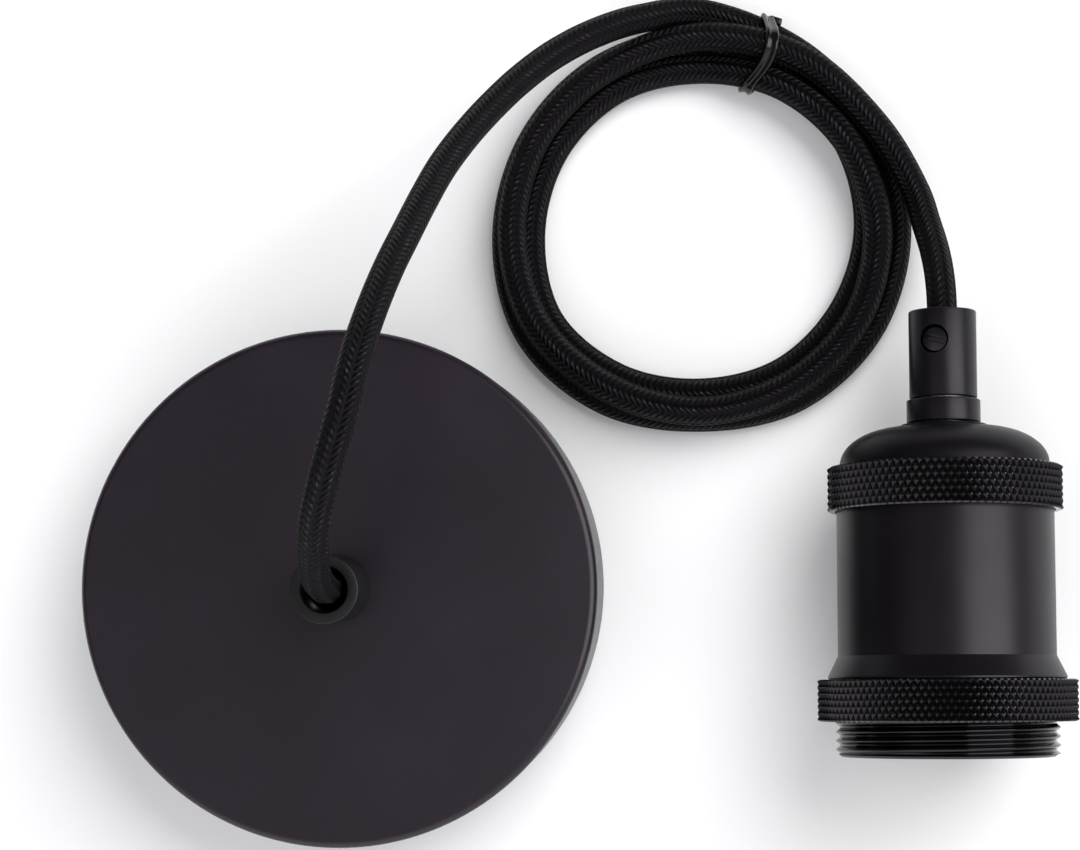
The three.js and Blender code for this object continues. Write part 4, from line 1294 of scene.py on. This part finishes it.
KEPT = {
    STEEL: ("mounting_strap", "gland_washer", "terminal_screw_1", "terminal_screw_2", "terminal_screw_3",
            "terminal_screw_4", "terminal_fixing_screw", "earth_screw", "hollow_nipple", "nipple_nut",
            "live_screw", "neutral_screw"),
    BRASS: ("terminal_insert_1", "terminal_insert_2", "earth_lug", "earth_tag", "screw_shell",
            "centre_contact", "live_terminal", "neutral_terminal"),
    GLAND: ("gland_nut",),
    PORCELAIN: ("socket_insert",),
    TERMINAL: ("terminal_body",),
    CORE_BROWN: ("canopy_core_brown", "holder_core_brown"),
    CORE_BLUE: ("canopy_core_blue", "holder_core_blue"),
    CORE_EARTH: ("canopy_core_earth", "holder_core_earth"),
}


def dress_kept() -> None:
    """Gives every piece that is kept from the model its finish."""
    for finish, names in KEPT.items():
        for name in names:
            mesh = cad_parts[name].data
            mesh.materials.clear()
            mesh.materials.append(finish.material())
            LOG.info("%s: kept, in %s", name, finish.name)


@dataclass
class Studio:
    """A white table, a large soft light from the right and a camera nearly overhead."""

    camera_at: tuple[float, float, float] = (74.757, 6.378, 497.339)
    camera_turn: tuple[float, float, float] = (0.02536, 0.03301, -0.00047)
    focal_pixels: float = 2464.85
    image: tuple[int, int] = (1080, 850)
    centre_pixel: tuple[float, float] = (645.0, 492.5)
    table_reach: float = 9.0
    table_drop: float = 0.0001
    aim: tuple[float, float, float] = (0.07, 0.03, 0.0)
    soft_at: tuple[float, float, float] = (0.57, 0.63, 0.85)
    soft_size: tuple[float, float] = (0.95, 1.0)
    soft_power: float = 14.5
    sheen_at: tuple[float, float, float] = (0.8, 0.1, 0.82)
    sheen_power: float = 14.5
    fill_at: tuple[float, float, float] = (-0.8, -0.1, 1.0)
    fill_size: tuple[float, float] = (1.2, 1.4)
    fill_power: float = 2.6
    walls_across: Sequence[tuple[float, float]] = (
        (0.0, 0.08), (0.12, 0.2), (0.19, 0.85), (0.35, 0.62), (0.5, 0.5), (0.7, 0.5), (1.0, 0.65),
    )
    walls_shade: Sequence[tuple[float, float]] = (
        (0.0, 1.0), (0.5, 1.0), (0.62, 0.6), (0.75, 0.25), (1.0, 0.15),
    )
    walls_along: Sequence[tuple[float, float]] = (
        (0.0, 1.7), (0.1, 1.4), (0.22, 0.2), (0.5, 0.04), (1.0, 0.0),
    )

    def camera(self) -> None:
        """The camera, with the shift that the photograph's framing needs."""
        data = bpy.data.cameras.new("camera")
        data.sensor_width = 36.0
        data.lens = self.focal_pixels / self.image[0] * data.sensor_width
        data.shift_x = (self.image[0] / 2 - self.centre_pixel[0]) / self.image[0]
        data.shift_y = (self.centre_pixel[1] - self.image[1] / 2) / self.image[0]
        data.clip_start, data.clip_end = 0.01, 10.0
        camera = bpy.data.objects.new("camera", data)
        camera.location = Vector(self.camera_at) * MM
        camera.rotation_euler = Euler(self.camera_turn)
        bpy.context.scene.collection.objects.link(camera)
        bpy.context.scene.camera = camera

    def floor(self) -> None:
        """A wide pale table top with a very faint unevenness."""
        bm = bmesh.new()
        bmesh.ops.create_grid(bm, x_segments=4, y_segments=4, size=self.table_reach)
        bmesh.ops.translate(bm, verts=bm.verts[:], vec=(0, 0, -self.table_drop))
        mesh = bpy.data.meshes.new("table_top")
        bm.to_mesh(mesh)
        bm.free()
        shader = Shader("table_white")
        shader.colour(shader.blend(shader.noise(3.0, detail=2.0), (
            (0.3, (0.89, 0.89, 0.895)),
            (0.7, (0.91, 0.91, 0.915)),
        )))
        shader.set(Roughness=0.7, Specular_IOR_Level=0.2)
        mesh.materials.append(shader.material)
        table = bpy.data.objects.new("table_top", mesh)
        bpy.context.scene.collection.objects.link(table)

    def lamp(self, name: str, at: tuple, size: tuple, power: float) -> bpy.types.Object:
        """Adds a rectangular soft light that faces the object.

        Args:
            name: the light's name.
            at: where it hangs, in metres.
            size: its width and height in metres.
            power: its power in watts.

        Returns:
            The light's object.
        """
        data = bpy.data.lights.new(name, "AREA")
        data.shape = "RECTANGLE"
        data.size, data.size_y = size
        data.energy = power
        light = bpy.data.objects.new(name, data)
        light.location = at
        light.rotation_euler = (Vector(self.aim) - Vector(at)).to_track_quat("-Z", "Y").to_euler()
        bpy.context.scene.collection.objects.link(light)
        return light

    def lights(self) -> None:
        """Soft light from the upper right, a lamp for its sheen alone, a weak fill, and the room."""
        soft = self.lamp("right_soft", self.soft_at, self.soft_size, self.soft_power)
        fill = self.lamp("left_fill", self.fill_at, self.fill_size, self.fill_power)
        soft.visible_glossy = fill.visible_glossy = False
        sheen = self.lamp("right_sheen", self.sheen_at, self.soft_size, self.sheen_power)
        sheen.visible_diffuse = False
        world = bpy.data.worlds.new("room")
        world.use_nodes = True
        nodes, links = world.node_tree.nodes, world.node_tree.links
        place = nodes.new("ShaderNodeTexCoord")
        split = nodes.new("ShaderNodeSeparateXYZ")
        links.new(place.outputs["Generated"], split.inputs["Vector"])
        total = nodes.new("ShaderNodeMath")
        total.operation = "MULTIPLY_ADD"
        ramps = (("X", self.walls_across), ("Y", self.walls_shade), ("Y", self.walls_along))
        for number, (axis, levels) in enumerate(ramps):
            spread = nodes.new("ShaderNodeMapRange")
            spread.inputs["From Min"].default_value = -1.0
            links.new(split.outputs[axis], spread.inputs["Value"])
            walls = nodes.new("ShaderNodeValToRGB")
            elements = walls.color_ramp.elements
            while len(elements) < len(levels):
                elements.new(0.5)
            for element, (position, level) in zip(elements, levels):
                element.position = position
                element.color = (level, level, level, 1.0)
            links.new(spread.outputs["Result"], walls.inputs["Fac"])
            links.new(walls.outputs["Color"], total.inputs[number])
        background = nodes["Background"]
        background.inputs["Color"].default_value = (0.98, 0.98, 1.0, 1.0)
        links.new(total.outputs[0], background.inputs["Strength"])
        bpy.context.scene.world = world
        bpy.context.scene.view_settings.view_transform = "Standard"

    def build(self) -> None:
        """Builds the table and the lights."""
        self.floor()
        self.lights()


def main() -> None:
    """Builds the camera and cord first, then everything else."""
    logging.basicConfig(level=logging.INFO, format="%(name)s: %(message)s")
    studio = Studio()
    studio.camera()
    holder = LampHolder()
    CoiledCord().build(holder.cord_points())
    Canopy().build()
    holder.build()
    dress_kept()
    studio.build()


if __name__ == "__main__":
    main()
